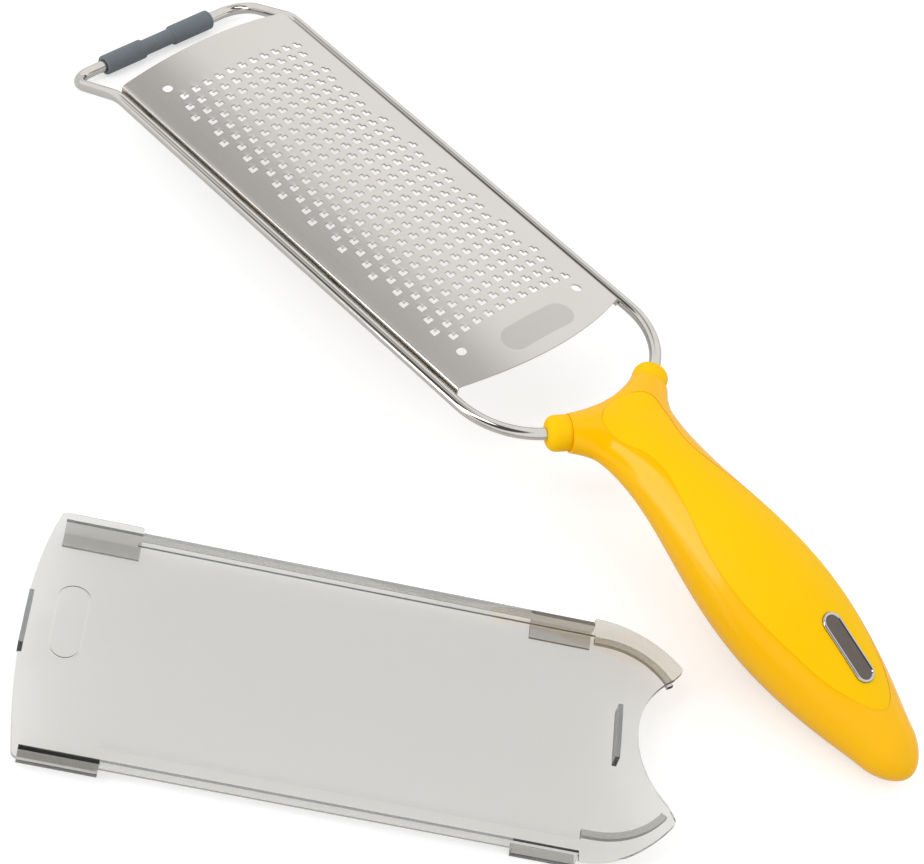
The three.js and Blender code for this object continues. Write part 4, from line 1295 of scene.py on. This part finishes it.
cover = new_object("cover_shell", *arch_slab(-WALL, 0))
stamp_levels = (cover_top + STAMP_OVER, cover_foot - STAMP_OVER)
stamp = new_object("stamp", *skin([[(x, y, z) for x, y in plan] for z in stamp_levels]))
combine(cover, [stamp], "INTERSECT")
print("roof:", len(cover.data.polygons), "faces")

# %% Walls of the cover


def bar(profile, x0, x1, side=1):
    """A bar along x, from a section of y and z, or its mirror image on the other side."""
    ring = [(side * y, z) for y, z in profile]
    ring = ring if side > 0 else ring[::-1]
    return new_object("bar", *skin([[(x, y, z) for y, z in ring] for x in (x0, x1)]))


def block(y0, y1, low, draft=0.0):
    """A four-cornered section up into the roof's thickness, thinner by the draft at its foot."""
    top = roof_height(max(abs(y0), abs(y1))) - WALL / 2
    return [(y0 + draft, low), (y1, low), (y1, top), (y0, top)]


def horn_wall(side):
    """The wall inside a horn: straight from the horn's start, then round the wire's bend."""
    outer = RAIL_BEND_RADIUS - WIRE_RADIUS - SEAT_GAP
    turns = np.linspace(math.pi / 2, math.pi / 2 - HORN_WALL_TURN, CURVE_STEPS)
    edges = []
    for radius in (outer, outer - HORN_WALL):
        bend = [(RAIL_BEND_START + radius * math.cos(a), RAIL_Y - RAIL_BEND_RADIUS + radius * math.sin(a))
                for a in turns]
        edges.append([(horn_start, bend[0][1]), *bend])
    ring = [(x, side * y) for x, y in (*edges[0], *reversed(edges[1]))]
    low, high = cover_top - 2 * WALL - HORN_WALL_DEPTH, roof_height(wall_in) - WALL / 4
    levels = (high, low) if side > 0 else (low, high)
    return new_object("horn_wall", *skin([[(x, y, z) for x, y in ring] for z in levels]))


# %% Section of the bead under the roof
BEAD_STEPS = 24
BEAD_SINK = 0.02

bead_y = wall_out - BEAD_INSET
bead_root = roof_height(bead_y) - WALL / 2
bead = []
for share in np.linspace(-0.5, 0.5, BEAD_STEPS + 1):
    y = bead_y + BEAD_WIDTH * share
    bead.append((y, roof_height(y) - WALL + BEAD_SINK - BEAD_HEIGHT * math.cos(math.pi * share) ** 2))
bead = [*bead, (bead_y + BEAD_WIDTH / 2, bead_root), (bead_y - BEAD_WIDTH / 2, bead_root)]
print("bead section:", len(bead), "points")

# %% Walls joined to the roof
WALL_OVERLAP = 1

skirt = block(wall_in, wall_out, roof_height(wall_out) - WALL - SKIRT_DEPTH, DRAFT / 2)
clip_wall = block(wall_in, wall_out, cover_foot, DRAFT)
hook_in = wall_in - HOOK_REACH
hook = [(hook_in, cover_foot), (wall_out, cover_foot), (wall_out, hook_top), (hook_in, hook_top - DRAFT)]
walls = []
for side in (-1, 1):
    walls += [bar(profile, clip_end - WALL_OVERLAP, horn_start, side) for profile in (skirt, bead)]
    walls.append(horn_wall(side))
    for x0, x1 in ((clip_start + WALL, clip_end), (horn_start - FLAP_LENGTH, horn_start)):
        walls += [bar(clip_wall, x0, x1, side), bar(hook, x0, x1, side)]
for x in (stop_tip, stop_end):
    walls.append(bar(block(-STOP_LENGTH / 2, STOP_LENGTH / 2, cover_top - WALL - STOP_DEPTH), x, x + WALL))
combine(cover, walls, "UNION")
print("cover with walls:", len(cover.data.polygons), "faces")

# %% Capsule outlined on the roof
CAPSULE_LENGTH, CAPSULE_WIDTH = 23, 8.5
CAPSULE_SET = 11.5
GROOVE_WIDTH, GROOVE_DEPTH = 0.5, 0.3


def capsule_block(inset):
    outline = capsule(CAPSULE_LENGTH - 2 * inset, CAPSULE_WIDTH - 2 * inset)
    levels = (cover_top - STAMP_OVER, cover_top + STAMP_OVER)
    rings = [[(stop_tip + CAPSULE_SET - y, x, z) for x, y in outline] for z in levels]
    return new_object("capsule", *skin(rings))


groove = capsule_block(0)
below_groove = new_object("below_groove", *arch_slab(None, -GROOVE_DEPTH))
combine(groove, [below_groove, capsule_block(GROOVE_WIDTH)], "DIFFERENCE")
combine(cover, [groove], "DIFFERENCE")
print("cover with its outlined capsule:", len(cover.data.polygons), "faces")

# %% Cover in its place
COVER_HEADING = math.radians(43)
COVER_SMOOTH = math.radians(30)

heading = Matrix.Rotation(COVER_HEADING, 4, "Z") @ Matrix.Scale(MM, 4)
corners = np.array([heading @ Vector((*corner, cover_foot)) for corner, _ in plan_corners])
shift = middle("blade_cover") - Vector((corners.min(axis=0) + corners.max(axis=0)) / 2)
shift.z = -cover_foot * MM
cover_place = Matrix.Translation(shift) @ heading
place(cover, cover_place, smoke, "cover", ["blade_cover"], COVER_SMOOTH)
